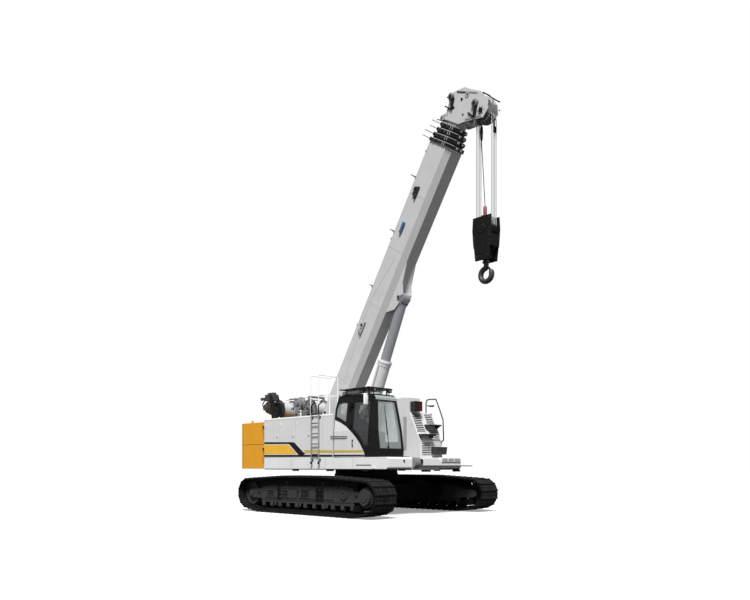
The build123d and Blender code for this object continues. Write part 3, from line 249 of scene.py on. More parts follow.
finishes = {
    "bodyGrey": paintFinish("bodyGreyPaint", (0.62, 0.62, 0.62), (0.48, 0.47, 0.45), coat=0.2),
    "boomGrey": paintFinish("boomGreyPaint", (0.52, 0.52, 0.525), (0.4, 0.4, 0.39), coat=0.1),
    "deckWhite": paintFinish("deckWhitePaint", (0.74, 0.74, 0.73), (0.55, 0.53, 0.5), coat=0.2),
    "weightAmber": paintFinish("weightAmberPaint", (0.7, 0.315, 0.014), (0.52, 0.22, 0.012), coat=0.15),
    "underBlack": paintFinish("underBlackPaint", (0.004, 0.004, 0.005), (0.011, 0.01, 0.01), rough=0.6, share=0.6,
                              streak=0.4, shine=0.1),
    "frameGrey": paintFinish("sideFrameGrey", (0.034, 0.033, 0.038), (0.05, 0.047, 0.046), rough=0.5, share=0.6,
                             streak=0.4, shine=0.22),
    "trackSteel": paintFinish("trackSteel", (0.005, 0.005, 0.006), (0.022, 0.02, 0.019), rough=0.55, scale=7.0,
                              share=0.6, streak=0.3, bump=0.003, shine=0.18),
    "cabBlack": paintFinish("cabBlackPaint", (0.008, 0.008, 0.009), (0.018, 0.018, 0.018), rough=0.35, shine=0.22),
    "darkGrey": paintFinish("darkGreyPaint", (0.03, 0.03, 0.032), (0.055, 0.055, 0.055), rough=0.5, shine=0.2),
    "seamGrey": paintFinish("seamGrey", (0.33, 0.33, 0.335), (0.26, 0.26, 0.26), rough=0.5),
    "midGrey": paintFinish("midGreyPaint", (0.17, 0.17, 0.18), (0.12, 0.12, 0.12), rough=0.45, shine=0.3),
    "galvanised": paintFinish("galvanisedSteel", (0.42, 0.43, 0.44), (0.3, 0.31, 0.32), rough=0.4, metal=0.7),
    "boltSteel": paintFinish("boltSteel", (0.16, 0.16, 0.165), (0.07, 0.065, 0.06), rough=0.4, metal=0.8, scale=25.0),
    "chrome": paintFinish("chromedRod", (0.6, 0.62, 0.67), (0.4, 0.42, 0.46), rough=0.22, metal=0.75, bump=0.0003),
    "rope": paintFinish("wireRope", (0.4, 0.41, 0.42), (0.24, 0.24, 0.25), rough=0.5, scale=40.0, bump=0.004),
    "blockBlack": paintFinish("blockBlack", (0.006, 0.006, 0.007), (0.016, 0.016, 0.017), rough=0.45, shine=0.2),
    "hookSteel": paintFinish("hookSteel", (0.045, 0.045, 0.048), (0.02, 0.02, 0.02), rough=0.4, shine=0.4),
    "seatCloth": paintFinish("seatCloth", (0.03, 0.03, 0.033), (0.06, 0.06, 0.06), rough=0.9, scale=60.0, bump=0.003,
                             fineScale=420.0),
    "rubber": paintFinish("rubberTrim", (0.006, 0.006, 0.006), (0.014, 0.014, 0.013), rough=0.7, scale=12.0,
                          shine=0.15),
    "glass": glassFinish("cabGlass", (0.5, 0.55, 0.56), 0.26),
    "doorPane": glassFinish("doorPane", (0.07, 0.078, 0.082), 0.52),
    "headerGlass": paintFinish("headerGlass", (0.3, 0.325, 0.33), (0.22, 0.24, 0.245), rough=0.15, coat=0.3),
    "redLens": paintFinish("redLens", (0.085, 0.008, 0.008), (0.05, 0.006, 0.006), rough=0.3, shine=0.25),
    "weightRed": paintFinish("weightRed", (0.24, 0.05, 0.075), (0.15, 0.03, 0.045), rough=0.5),
    "winchIron": paintFinish("winchIron", (0.048, 0.051, 0.058), (0.022, 0.023, 0.026), rough=0.45, scale=9.0,
                             share=0.5),
    "lampLens": paintFinish("lampLens", (0.16, 0.165, 0.17), (0.1, 0.1, 0.1), rough=0.12, coat=0.6),
    "blueGuard": paintFinish("blueGuard", (0.05, 0.13, 0.27), (0.04, 0.08, 0.15), rough=0.45),
    "gold": paintFinish("stripeGold", (0.52, 0.36, 0.06), (0.42, 0.28, 0.05), coat=0.25),
    "stripeBlack": paintFinish("stripeBlack", (0.009, 0.009, 0.011), (0.02, 0.02, 0.02), rough=0.4, shine=0.2),
    "stripeAmber": paintFinish("stripeAmber", (0.8, 0.45, 0.035), (0.55, 0.28, 0.03), coat=0.25),
    "whitePaint": paintFinish("whiteEnamel", (0.8, 0.8, 0.79), (0.6, 0.59, 0.56), coat=0.3),
}

nodeFinishes = {
    "bodyGrey": ["house_right", "house_left", "cab_side_panel", "lift_barrel"],
    "boomGrey": ["boom_base", "boom_section_2", "boom_section_3", "boom_section_4", "boom_section_5", "boom_head"],
    "deckWhite": ["deck_right", "deck_left", "revolving_frame"],
    "weightAmber": ["counterweight_lower", "counterweight_upper"],
    "underBlack": ["carbody", "rollers_right", "rollers_left", "slew_ring_lower", "slew_ring_upper"],
    "frameGrey": ["side_frame_right", "side_frame_left", "sprocket_right", "sprocket_left", "idler_right",
                  "idler_left"],
    "trackSteel": ["track_right", "track_left"],
    "cabBlack": ["cab_shell", "cab_door", "roof_guard", "engine_block", "front_rail"],
    "blockBlack": ["hook_block", "block_sheaves"],
    "hookSteel": ["hook"],
    "darkGrey": ["stair_steps", "work_light", "winch_frame", "cab_console", "main_winch"],
    "galvanised": ["foot_pin", "cylinder_head_pin", "ladder"],
    "whitePaint": ["roof_rails"],
    "midGrey": ["aux_winch", "head_sheaves", "deck_nose"],
    "chrome": ["lift_rod"],
    "rope": ["rope_falls"],
    "seatCloth": ["cab_seat"],
    "glass": ["cab_glass"],
    "doorPane": ["door_glass"],
}
for finishName, names in nodeFinishes.items():
    for name in names:
        for materialSlot in nodes[name].material_slots:
            materialSlot.material = finishes[finishName]
print("frame painted")

bothSides = ((-1, "right"), (1, "left"))

# crawler belts: link plates, pins and shoe bolts on the fixed loop
beltSet = {
    "circles": [(-1.95, 0.165, 0.12), (1.95, 0.165, 0.12), (2.44, 0.525, 0.4), (0.82, 0.885, 0.12),
                (-0.82, 0.885, 0.12), (-2.44, 0.525, 0.4)],
    "shoes": 58, "centreY": 2.125, "rowY": 0.125, "rowHalf": 0.03, "shoePlate": 0.025, "linkDeep": 0.036,
    "linkProud": 0.005, "linkLow": -0.064, "linkTop": -0.022, "linkShare": 0.4, "pinRadius": 0.026,
    "pinIn": 0.09, "pinOut": 0.161, "boltRadius": 0.013, "boltRows": (-0.29, -0.17, 0.17, 0.29),
    "boltX": (-0.03, 0.05),
}


# the loop as turns round its circles and straight runs between them
def beltRuns():
    circles = beltSet["circles"]
    leaves = []
    for (xa, za, ra), (xb, zb, rb) in zip(circles, circles[1:] + circles[:1]):
        length = math.hypot(xb - xa, zb - za)
        leaves.append(math.atan2(zb - za, xb - xa) - math.pi / 2 - math.asin((rb - ra) / length))
    runs = []
    for index, (x, z, radius) in enumerate(circles):
        entry, leave = leaves[index - 1], leaves[index]
        while leave < entry:
            leave += 2 * math.pi
        nextX, nextZ, nextRadius = circles[(index + 1) % len(circles)]
        outward = Vector((math.cos(leave), 0, math.sin(leave)))
        start = Vector((x, 0, z)) + outward * radius
        end = Vector((nextX, 0, nextZ)) + outward * nextRadius
        runs.append({"length": radius * (leave - entry), "centre": Vector((x, 0, z)), "radius": radius, "entry": entry})
        runs.append({"length": (end - start).length, "start": start, "end": end, "angle": leave})
    return runs


def beltSpot(runs, distance):
    distance %= sum(run["length"] for run in runs)
    for run in runs:
        if distance <= run["length"]:
            break
        distance -= run["length"]
    if "centre" in run:
        angle = run["entry"] + distance / run["radius"]
        return run["centre"] + Vector((math.cos(angle), 0, math.sin(angle))) * run["radius"], angle
    return run["start"].lerp(run["end"], distance / run["length"]), run["angle"]


def ontoBelt(mesh, verts, distance, middle):
    spot, angle = beltSpot(runs, distance)
    tangent = Vector((-math.sin(angle), 0, math.cos(angle)))
    outward = Vector((math.cos(angle), 0, math.sin(angle)))
    moveVerts(mesh, verts, Matrix((tangent, Vector((0, -1, 0)), outward)).transposed(), spot + middle)


runs = beltRuns()
pitch = sum(run["length"] for run in runs) / beltSet["shoes"]
for side, sideName in bothSides:
    middle = Vector((0, side * beltSet["centreY"], 0))
    links, bolts = meshes(2)
    deep, plate, reach = beltSet["linkDeep"], beltSet["shoePlate"], pitch * beltSet["linkShare"]
    for index in range(beltSet["shoes"]):
        made = []
        for edge in (-1, 1):
            face = edge * (beltSet["rowY"] + beltSet["rowHalf"])
            made += addBox(links, (-reach, face, beltSet["linkLow"]),
                           (reach, face + edge * beltSet["linkProud"], beltSet["linkTop"]))
        ontoBelt(links, made, (index + 0.5) * pitch, middle)
        made = []
        for y in beltSet["boltRows"]:
            for x in beltSet["boltX"]:
                made += addRod(bolts, (x, y, plate - 0.002), (x, y, plate + 0.01), beltSet["boltRadius"], 6)
        ontoBelt(bolts, made, (index + 0.5) * pitch, middle)
        made = addRod(links, (0, -beltSet["pinOut"], -deep), (0, -beltSet["pinIn"], -deep), beltSet["pinRadius"], 10)
        made += addRod(links, (0, beltSet["pinIn"], -deep), (0, beltSet["pinOut"], -deep), beltSet["pinRadius"], 10)
        ontoBelt(links, made, index * pitch, middle)
    finishPiece(f"track_links_{sideName}", links, "trackSteel", "undercarriage")
    finishPiece(f"shoe_bolts_{sideName}", bolts, "boltSteel", "undercarriage")
print("belts dressed")

# side frames: bolted panels, pockets filled with painted shade, bosses, wheel caps, drive hub, guard plates and painted
# shade over the gaps between panels
sideSet = {
    "trackY": 2.125, "plateY": 0.19, "faceY": 2.325, "panelY": 2.341, "boss": (1.58, 0.57), "wheelX": 2.44,
    "wheelZ": 0.525, "hubY": 2.395, "panels": [(-1.75, -1.18), (-1.08, -0.33), (-0.23, 0.48), (0.6, 1.18)],
    "rollerFirst": -1.86, "rollers": 11, "rollerZ": 0.2323, "gapShades": [(-1.185, -1.0), (0.475, 0.8)],
    "carrierX": 0.76, "carrierZ": 0.8497, "pocketRim": 0.015, "chainGuides": (-1.3, -0.2, 0.9),
    "endPocketShades": (-2.06, 2.02),
    "pockets": [(-0.98, -0.7, 0.48, 0.64), (-0.12, 0.2, 0.47, 0.66), (-1.62, -1.34, 0.5, 0.63)],
    "guard": [(-2.06, 0.655), (-1.93, 0.69), (-1.67, 0.75), (1.67, 0.75), (1.93, 0.69), (2.06, 0.655),
              (2.06, 0.865), (0.82, 0.955), (-0.82, 0.955), (-2.06, 0.865)],
    "guardRibs": (-1.55, -1.15, -0.4, 0.0, 0.4, 1.15, 1.55),
    "mudGuard": [(1.9, 0.3), (1.9, 0.16), (2.25, 0.175), (2.42, 0.195)],
}
for side, sideName in bothSides:
    plates, bolts, darkAndShade, guardsAndGapShade = meshes(4)
    push = (0, side * 0.012, 0)
    panelY, faceY, trackY = side * sideSet["panelY"], side * sideSet["faceY"], side * sideSet["trackY"]
    bossX, bossZ = sideSet["boss"]
    wheelX, wheelZ = sideSet["wheelX"], sideSet["wheelZ"]
    back = panelY - side * 0.001
    for first, last in sideSet["panels"]:
        spots = [(x, panelY, z) for x in (first + 0.05, (first + last) / 2, last - 0.05) for z in (0.465, 0.665)]
        addBolts(bolts, spots, 0.015, push)
        addBox(plates, (first + 0.02, panelY, 0.695), (last - 0.02, panelY + side * 0.016, 0.708))
    # pockets in the panels: a dark plate in each as painted shade, with a rim and a bar across it
    rim, front = sideSet["pocketRim"], panelY + side * 0.012
    for x0, x1, z0, z1 in sideSet["pockets"]:
        addBox(darkAndShade, (x0, back, z0), (x1, panelY + side * 0.003, z1))
        for xa, za, xb, zb in [(x0 - rim, z0 - rim, x1 + rim, z0), (x0 - rim, z1, x1 + rim, z1 + rim),
                               (x0 - rim, z0, x0, z1), (x1, z0, x1 + rim, z1)]:
            addBox(plates, (xa, back, za), (xb, front, zb))
        middle = (z0 + z1) / 2
        addBox(plates, (x0, back, middle - 0.01), (x1 - 0.1, panelY + side * 0.01, middle + 0.01))
    # round boss ahead of the panels, on the drive end
    addRing(plates, (bossX, faceY + side * 0.015, bossZ), (0, side, 0), 0.055, 0.12, 0.036, 28)
    addCap(plates, (bossX, faceY, bossZ), (0, side, 0), 0.0, 0.042, 0.034, 0.03, 20)
    addBoltRing(bolts, (bossX, faceY + side * 0.033, bossZ), (0, 1, 0), 0.09, 8, 0.01, push)
    # guard bar of the drive end, hose covers along the frame's top
    addPlate(plates, flatAt(faceY, [(1.45, 0.768), (1.46, 0.8), (1.93, 0.735), (1.93, 0.7)]), (0, side * 0.022, 0))
    for x0, x1, top in [(0.62, 1.35, 0.778), (-1.66, 0.4, 0.772)]:
        addBox(plates, (x0, faceY - side * 0.05, 0.758), (x1, faceY + side * 0.012, top), bevel=0.004)
    # final drive: two bolt circles, oil plugs, a cast rim and its ribs
    hubY = side * sideSet["hubY"]
    addBoltRing(bolts, (wheelX, hubY, wheelZ), (0, 1, 0), 0.222, 20, 0.014, (0, side * 0.018, 0))
    addBoltRing(bolts, (wheelX, hubY + side * 0.08, wheelZ), (0, 1, 0), 0.16, 12, 0.011, push)
    addBolts(bolts, flatAt(side * 2.489, [(wheelX, 0.605), (wheelX, 0.445)]), 0.016, (0, side * 0.01, 0), 8)
    addRing(plates, (wheelX, hubY, wheelZ), (0, side, 0), 0.196, 0.206, 0.03, 36)
    for angle in range(0, 360, 30):
        rib = addBox(plates, (0.178, side * 2.42 - 0.03, -0.006), (0.2, side * 2.42 + 0.03, 0.006))
        moveVerts(plates, rib, spin(angle, "Y"), (wheelX, 0, wheelZ))
    # dark plates at the frame's ends: painted shade in the end pockets
    for x in sideSet["endPocketShades"]:
        addBox(darkAndShade, (x - 0.05, faceY - side * 0.001, 0.5), (x + 0.05, faceY + side * 0.003, 0.58))
    for edge in (-1, 1):
        # idler cap with its bolts
        y = trackY + edge * 0.2
        addSolid(plates, [(0.095, -0.002), (0.095, 0.012), (0.07, 0.022)], (-wheelX, y, wheelZ), (0, edge, 0))
        addBoltRing(bolts, (-wheelX, y + edge * 0.012, wheelZ), (0, 1, 0), 0.082, 6, 0.008, (0, edge * 0.008, 0))
        # roller caps and chain guides on the frame's lower plates
        skirt = trackY + edge * sideSet["plateY"]
        for index in range(sideSet["rollers"]):
            x = sideSet["rollerFirst"] + index * -2 * sideSet["rollerFirst"] / (sideSet["rollers"] - 1)
            addCap(plates, (x, skirt, sideSet["rollerZ"]), (0, edge, 0), -0.001, 0.058, 0.05, 0.009, 16)
            addBolts(bolts, flatAt(skirt, [(x - 0.085, 0.325), (x + 0.085, 0.325)]), 0.01, (0, edge * 0.009, 0))
        for x in (-sideSet["carrierX"], sideSet["carrierX"]):
            addCap(plates, (x, skirt, sideSet["carrierZ"]), (0, edge, 0), -0.001, 0.045, 0.04, 0.01, 16)
        for x in sideSet["chainGuides"]:
            addBox(plates, (x - 0.05, skirt, 0.21), (x + 0.05, skirt + edge * 0.012, 0.315), bevel=0.003)
        # guard plates between the frame's top and the belt's upper run
        y = skirt + edge * 0.0005
        addPlate(guardsAndGapShade, flatAt(y, sideSet["guard"]), (0, edge * 0.008, 0))
        for x in sideSet["guardRibs"]:
            addBox(guardsAndGapShade, (x - 0.008, y, 0.755), (x + 0.008, y + edge * 0.016, 0.868))
            addBolts(bolts, [(x + 0.12, y + edge * 0.0075, 0.79)], 0.011, (0, edge * 0.009, 0))
        # mud guard between the frame's end and the sprocket's lower run
        reach = 2.62 if edge * side > 0 else 2.4
        addPlate(guardsAndGapShade, flatAt(y, sideSet["mudGuard"] + [(reach, 0.24), (reach, 0.33), (2.3, 0.37)]),
                 (0, edge * 0.008, 0))
    # painted shade: dark plates over the recesses between the frame's box panels, with bolts on them
    for x0, x1 in sideSet["gapShades"]:
        addBox(guardsAndGapShade, (x0, faceY - side * 0.002, 0.4), (x1, panelY + side * 0.006, 0.742), bevel=0.006)
        spots = [(x, panelY + side * 0.004, z) for x in (x0 + 0.03, x1 - 0.03) for z in (0.44, 0.57, 0.7)]
        addBolts(bolts, spots, 0.012, push)
    for name, mesh, finishName in [("track_guards_and_gap_shade", guardsAndGapShade, "underBlack"), ("side_trim", plates, "frameGrey"),
                                   ("side_bolts", bolts, "boltSteel"), ("side_pocket_shade", darkAndShade, "stripeBlack")]:
        finishPiece(f"{name}_{sideName}", mesh, finishName, "undercarriage")
print("side frames dressed")

# carbody and slew ring: bolt circles, flange bolts and clipped pipes
carbodySet = {"beamX": 0.98, "flangeY": 1.885, "ringTop": 1.09, "ringRadius": 0.9185, "ringBolts": 60,
              "clips": (1.25, 1.6),
              "route": [(0.7, 0.5, 0.94), (0.78, 0.8, 0.935), (0.9, 1.1, 0.875), (0.9, 1.9, 0.822)]}
bolts, pipes = meshes(2)
addBoltRing(bolts, (0, 0, carbodySet["ringTop"] - 0.001), (0, 0, 1), carbodySet["ringRadius"],
            carbodySet["ringBolts"], 0.0095, (0, 0, 0.014))
addBoltRing(bolts, (0, 0, 1.199), (0, 0, -1), 0.87, 48, 0.01, (0, 0, -0.006))
for end in (-1, 1):
    for side in (-1, 1):
        for x in (-0.25, 0.25):
            addBolts(bolts, [(end * carbodySet["beamX"] + x, side * carbodySet["flangeY"], z)
                             for z in (0.46, 0.56, 0.66, 0.74)], 0.014, (0, -side * 0.012, 0))
        for shift in (0.0, 0.045):
            bendRod(pipes, [(end * x + shift, side * y, z) for x, y, z in carbodySet["route"]], 0.014, 8)
        x = end * 0.9
        for y in carbodySet["clips"]:
            addBox(pipes, (x - 0.04, side * y - 0.02, 0.8), (x + 0.085, side * y + 0.02, 0.842), bevel=0.004)
finishPiece("carbody_bolts", bolts, "boltSteel", "undercarriage")
finishPiece("carbody_pipes", pipes, "rubber", "undercarriage")
print("carbody dressed")

# deck: painted shade as dark strips along the bottom edge and in a side slot, feet, tie rings, plugs and seams on both
# sides
deckSet = {"half": 1.5, "edge": (1.205, 1.231), "feet": [(-1.58, -1.35), (-0.07, 0.18), (1.36, 1.55)],
           "seams": (-1.6, -0.1, 1.02), "plugs": (-2.8, -2.2, -1.45, -0.55, 0.35, 2.15), "front": 2.3,
           "treadRows": 9, "treadColumns": 36}
darkAndShade, light, vent, tread = meshes(4)
low, top = deckSet["edge"]
for side in (-1, 1):
    y = side * deckSet["half"]
    # dark strips under the deck's side and front edges: painted shade
    addBox(darkAndShade, (-2.94, side * 1.497, low), (2.24, side * 1.44, top))
    addBox(darkAndShade, (2.235, side * 1.44, low), (2.297, side * 0.57, top))
    for x0, x1 in deckSet["feet"]:
        addBox(darkAndShade, (x0, side * 1.46 - 0.035, 1.165), (x1, side * 1.46 + 0.035, 1.215), bevel=0.006)
    for x in deckSet["seams"]:
        addBox(darkAndShade, (x - 0.003, y - 0.001, 1.235), (x + 0.003, y + 0.001, 1.53))
    # dark bar on the side: painted shade in a slot
    addBox(darkAndShade, (1.14, y - 0.002, 1.318), (1.71, y + 0.002, 1.342))
    addRing(light, (1.82, y, 1.262), (0, 0, 1), 0.022, 0.04, 0.014, 20)
    addBolts(light, [(x, side * 1.499, 1.27) for x in deckSet["plugs"]], 0.013, (0, side * 0.009, 0))
for y0, y1 in [(-0.09, 0.2), (1.24, 1.49)]:
    addBox(darkAndShade, (2.2, y0, 1.15), (2.292, y1, 1.206), bevel=0.006)
# tow eye, marker and mat on the front
addRing(darkAndShade, (2.312, -0.215, 1.43), (1, 0, 0), 0.03, 0.068, 0.03)
addSolid(darkAndShade, [(0.03, 0.0), (0.03, 0.014), (0.0, 0.02)], (deckSet["front"], -0.88, 1.44), (1, 0, 0), 20)
addBox(darkAndShade, (2.05, -1.4, 1.541), (2.24, -0.6, 1.556), bevel=0.004)
# slatted vent on the left front, over a dark back of painted shade
addBox(darkAndShade, (2.299, 0.64, 1.418), (2.303, 1.46, 1.526))
for step in range(4):
    z = 1.425 + step * 0.026
    blade = addBox(vent, (2.304, 0.655, z), (2.322, 1.445, z + 0.007))
    bmesh.ops.rotate(vent, cent=(2.313, 0, z), matrix=spin(28, "Y"), verts=blade)
for y in (0.64, 0.91, 1.18, 1.455):
    addBox(vent, (2.304, y - 0.006, 1.418), (2.326, y + 0.006, 1.526))
# tread plate on the front step, with raised bars
for row in range(deckSet["treadRows"]):
    for column in range(deckSet["treadColumns"]):
        bar = addBox(tread, (-0.014, -0.004, 0), (0.014, 0.004, 0.0035))
        moveVerts(tread, bar, spin(45 if (row + column) % 2 else -45, "Z"),
                  (2.335 + row * 0.041, -0.315 + column * 0.05, 1.3215))
finishPiece("deck_dark_parts_and_shade", darkAndShade, "stripeBlack")
finishPiece("deck_fittings", light, "whitePaint")
finishPiece("deck_vent", vent, "deckWhite")
finishPiece("step_tread", tread, "darkGrey")
print("deck dressed")

# counterweight: seam, lashing slots, lifting eyes, lugs and bolts
weightSet = {"size": (1.4665, 2.997, 0.011), "centre": (-3.68525, 0, 1.98), "corner": 0.42, "slotY": 1.438,
             "lugY": 1.18, "slots": [(1.36, 1.85), (2.11, 2.53)], "eyes": (-4.02, -3.22), "lugs": (1.45, 2.2),
             "bolts": (1.32, 1.88, 2.08, 2.58)}
seam, lugs, slots = meshes(3)
made = bmesh.ops.create_cube(seam, size=1.0)["verts"]
bmesh.ops.scale(seam, vec=weightSet["size"], verts=made)
bmesh.ops.translate(seam, vec=weightSet["centre"], verts=made)
upright = [edge for edge in seam.edges
           if edge.verts[0].co.x < -4.0 and edge.verts[1].co.x < -4.0
           and abs(edge.verts[0].co.z - edge.verts[1].co.z) > 0.001]
bmesh.ops.bevel(
    seam, geom=upright, offset=weightSet["corner"], affect="EDGES", segments=12, profile=0.5, material=-1
)
for side in (-1, 1):
    y, lugY = side * weightSet["slotY"], side * weightSet["lugY"]
    # lashing slots let into the front corners of both slabs
    for low, high in weightSet["slots"]:
        addBox(slots, (-3.055, y, low), (-2.955, side * 1.426, high))
        addBolts(slots, [(-3.0, y, low + 0.08), (-3.0, y, high - 0.08)], 0.022, (0, side * 0.02, 0), 8)
    # a welded foot and a collar at each lifting eye
    for x in weightSet["eyes"]:
        addBox(lugs, (x - 0.1, lugY - 0.05, 2.655), (x + 0.1, lugY + 0.05, 2.672), bevel=0.004)
        addRing(lugs, (x, lugY, 2.715), (0, 1, 0), 0.0282, 0.044, 0.036)
    # lugs that take the slab onto the frame, with a pin through each
    for z in weightSet["lugs"]:
        addBox(lugs, (-2.952, lugY, z), (-2.9, side * 1.21, z + 0.16))
        addRod(lugs, (-2.925, side * 1.15, z + 0.08), (-2.925, side * 1.24, z + 0.08), 0.022)
    addBolts(lugs, [(-4.418, side * 0.85, z) for z in weightSet["bolts"]], 0.02, (-0.0019, 0, 0), 8)
finishPiece("weight_seam", seam, "stripeBlack")
finishPiece("weight_lugs", lugs, "weightAmber")
finishPiece("weight_slots", slots, "redLens")
print("counterweight dressed")

# both houses: door seams, latches on their plates, hinges and stripes; side is -1 right and 1 left
houseSet = {"skin": 1.499, "seam": 1.5012, "slat": 1.526, "front": 0.205, "rear": -2.94, "stripeY": 1.4995}


def addSeam(mesh, x, side, low, top):
    addBox(mesh, (x - 0.003, side * houseSet["seam"], low), (x + 0.003, side * houseSet["skin"], top))


def addLatch(plates, latches, x, side):
    addBox(plates, (x - 0.055, side * 1.508, 2.15), (x + 0.055, side * houseSet["skin"], 2.235), bevel=0.004)
    addBox(latches, (x - 0.022, side * 1.516, 2.182), (x + 0.016, side * 1.506, 2.203), bevel=0.004)


def addHinge(mesh, x, side, z):
    addRod(mesh, (x, side * 1.507, z - 0.05), (x, side * 1.507, z + 0.05), 0.009, 10)
    addBox(mesh, (x - 0.028, side * 1.504, z - 0.035), (x + 0.028, side * houseSet["skin"], z + 0.035))


def finishStripes(name, side, bands):
    for finishName, (proud, forms) in bands.items():
        band = bmesh.new()
        for corners in forms:
            addPlate(band, flatAt(side * houseSet["stripeY"], corners), (0, side * proud, 0))
        finishPiece(f"{name}_{finishName}", band, finishName)


seams, latches, roof, grip = meshes(4)
for x in (-2.2, -1.42, -0.72, -0.2):
    addSeam(seams, x, -1, 1.575, 2.69)
for z in (1.572, 2.687):
    addBox(seams, (houseSet["rear"], -houseSet["seam"], z), (houseSet["front"], -houseSet["skin"], z + 0.006))
for x in (-2.3, -1.52, -0.82):
    addLatch(roof, latches, x, -1)
for x in (-2.86, -2.12, -1.34):
    addHinge(roof, x, -1, 2.55)
# roof: covers, filler cap, eyes, handles, tread strips and two dark buffers
for x0, x1, top in [(-2.75, -1.85, 2.772), (-1.7, -1.05, 2.77)]:
    addBox(roof, (x0, -1.3, 2.748), (x1, -0.75, top), bevel=0.008)
addSolid(roof, [(0.07, 0.0), (0.07, 0.045), (0.052, 0.06)], (-0.25, -0.8, 2.749), (0, 0, 1))
for x in (-2.8, 0.08):
    addRing(roof, (x, -1.05, 2.785), (0, 1, 0), 0.022, 0.042, 0.018, 20)
for x in (-2.6, -2.0, -1.55, -1.2):
    addRod(roof, (x - 0.08, -0.82, 2.79), (x + 0.08, -0.82, 2.79), 0.008, 8)
    for shift in (-0.08, 0.08):
        addRod(roof, (x + shift, -0.82, 2.765), (x + shift, -0.82, 2.79), 0.008, 8)
for column in range(26):
    for row in range(6):
        x, y = -0.68 + column * 0.031, -1.44 + row * 0.022
        addBox(grip, (x, y, 2.7495), (x + 0.016, y + 0.009, 2.7535))
for x in (-0.93, -2.27):
    addRod(latches, (x, -0.8, 2.76), (x, -0.8, 2.86), 0.012, 10)
    addRod(latches, (x, -0.8, 2.86), (x, -0.8, 2.91), 0.034, 16)
finishPiece("house_seams", seams, "seamGrey")
finishPiece("house_latches", latches, "rubber")
finishPiece("house_fittings", roof, "bodyGrey")
finishPiece("roof_grip", grip, "darkGrey")

# side stripes: black lines, a gold field and an amber block, as flat bands up to 2 mm thick
finishStripes("side", -1, {
    "stripeBlack": (0.002, [
        [(-2.945, 1.982), (-2.945, 2.042), (-1.63, 2.01), (-1.63, 1.955)],
        [(-1.79, 2.008), (-1.49, 2.004), (-1.04, 1.69), (-0.94, 1.684), (-1.08, 1.62), (-1.27, 1.626)],
        [(-2.945, 1.59), (-2.945, 1.65), (0.205, 1.618), (0.205, 1.56)]]),
    "stripeAmber": (0.0015, [[(-2.945, 1.67), (-2.945, 1.96), (-1.75, 1.934), (-1.35, 1.655)]]),
    "gold": (0.0015, [[(-0.94, 1.684), (-1.06, 1.768), (0.205, 1.742), (0.205, 1.668)]])})
finishStripes("cab", -1, {
    "stripeBlack": (0.0015, [[(0.264, 1.568), (0.264, 1.616), (1.462, 1.604), (1.462, 1.568)]]),
    "gold": (0.0015, [[(0.264, 1.668), (0.264, 1.741), (1.385, 1.722), (1.425, 1.665)]])})
finishStripes("left", 1, {
    "stripeBlack": (0.0015, [[(-1.62, 1.59), (-1.62, 1.65), (1.55, 1.604), (1.55, 1.556)]]),
    "gold": (0.0015, [[(-0.94, 1.684), (-1.06, 1.768), (1.5, 1.722), (1.54, 1.652)]])})
print("right house dressed")

# left house: louvres on the sloping front and radiator slats, over dark backs of painted shade, service doors, roof
# fittings and treads
leftSet = {"tallFront": 1.2, "slope": [(1.54, 1.62), (2.05, 1.6), (2.85, 1.22)], "radiator": (-2.76, -1.65),
           "louvres": [(0.56, 0.9, 2.3, 2.82), (1.1, 1.425, 2.56, 2.82), (1.04, 1.425, 2.06, 2.35),
                       (0.6, 0.98, 1.64, 1.95)],
           "treads": [(0.95, 1.43, 2.5, 12), (0.55, 1.0, 2.21, 11), (1.01, 1.43, 1.85, 10)]}


def slopeX(z):
    for (z0, x0), (z1, x1) in zip(leftSet["slope"], leftSet["slope"][1:]):
        if z <= z1:
            return x0 + (x1 - x0) * (z - z0) / (z1 - z0)
    return leftSet["tallFront"]


blades, back, seams, latches, roof, grip = meshes(6)
# frames of the louvres and their dark backs, painted shade in the openings: first and last Y, lowest and highest Z
for y0, y1, z0, z1 in leftSet["louvres"]:
    low, top = slopeX(z0), slopeX(z1)
    addPlate(back, [(low, y0, z0), (low, y1, z0), (top, y1, z1), (top, y0, z1)], (0.003, 0, 0.001))
    for y in (y0 - 0.012, y1):
        addPlate(blades, [(low, y, z0 - 0.01), (top, y, z1 + 0.01), (top + 0.014, y, z1 + 0.01),
                          (low + 0.014, y, z0 - 0.01)], (0, 0.012, 0))
    for z in (z0 - 0.012, z1):
        x = slopeX(z)
        addBox(blades, (x - 0.004, y0 - 0.012, z), (x + 0.012, y1 + 0.012, z + 0.012))
# outer side: radiator slats at the rear over a dark back of painted shade, service doors ahead of it
first, last = leftSet["radiator"]
addBox(back, (first + 0.02, 1.4995, 1.76), (last - 0.01, 1.503, 2.62))
for x in (first + 0.01, -2.21, last - 0.01):
    addBox(blades, (x - 0.012, houseSet["skin"], 1.745), (x + 0.012, houseSet["slat"], 2.635))
for z in (1.745, 2.615):
    addBox(blades, (first, houseSet["skin"], z), (last, houseSet["slat"], z + 0.02))
for x in (-1.45, -0.7, 0.05, 0.8):
    addSeam(seams, x, 1, 1.575, 2.79)
for z, x in [(1.572, 1.58), (2.788, 1.2)]:
    addBox(seams, (houseSet["rear"], houseSet["skin"], z), (x, houseSet["seam"], z + 0.006))
for x in (0.2, 0.9):
    addBox(seams, (x - 0.003, 0.519, 1.6), (x + 0.003, 0.5205, 2.8))
# dark strip on the house's inner face behind the cab: painted shade
addBox(seams, (0.985, 0.5175, 1.76), (1.115, 0.5205, 2.72))
for x in (-1.56, -0.81, -0.06, 0.69):
    addLatch(roof, latches, x, 1)
for x in (-1.36, -0.61, 0.14):
    for z in (1.72, 2.55):
        addHinge(roof, x, 1, z)
# small lamp and its bracket by the rail
addRod(latches, (1.06, 1.45, 3.09), (1.36, 1.45, 3.08), 0.012, 10)
addBox(latches, (1.28, 1.28, 3.04), (1.36, 1.44, 3.075), bevel=0.006)
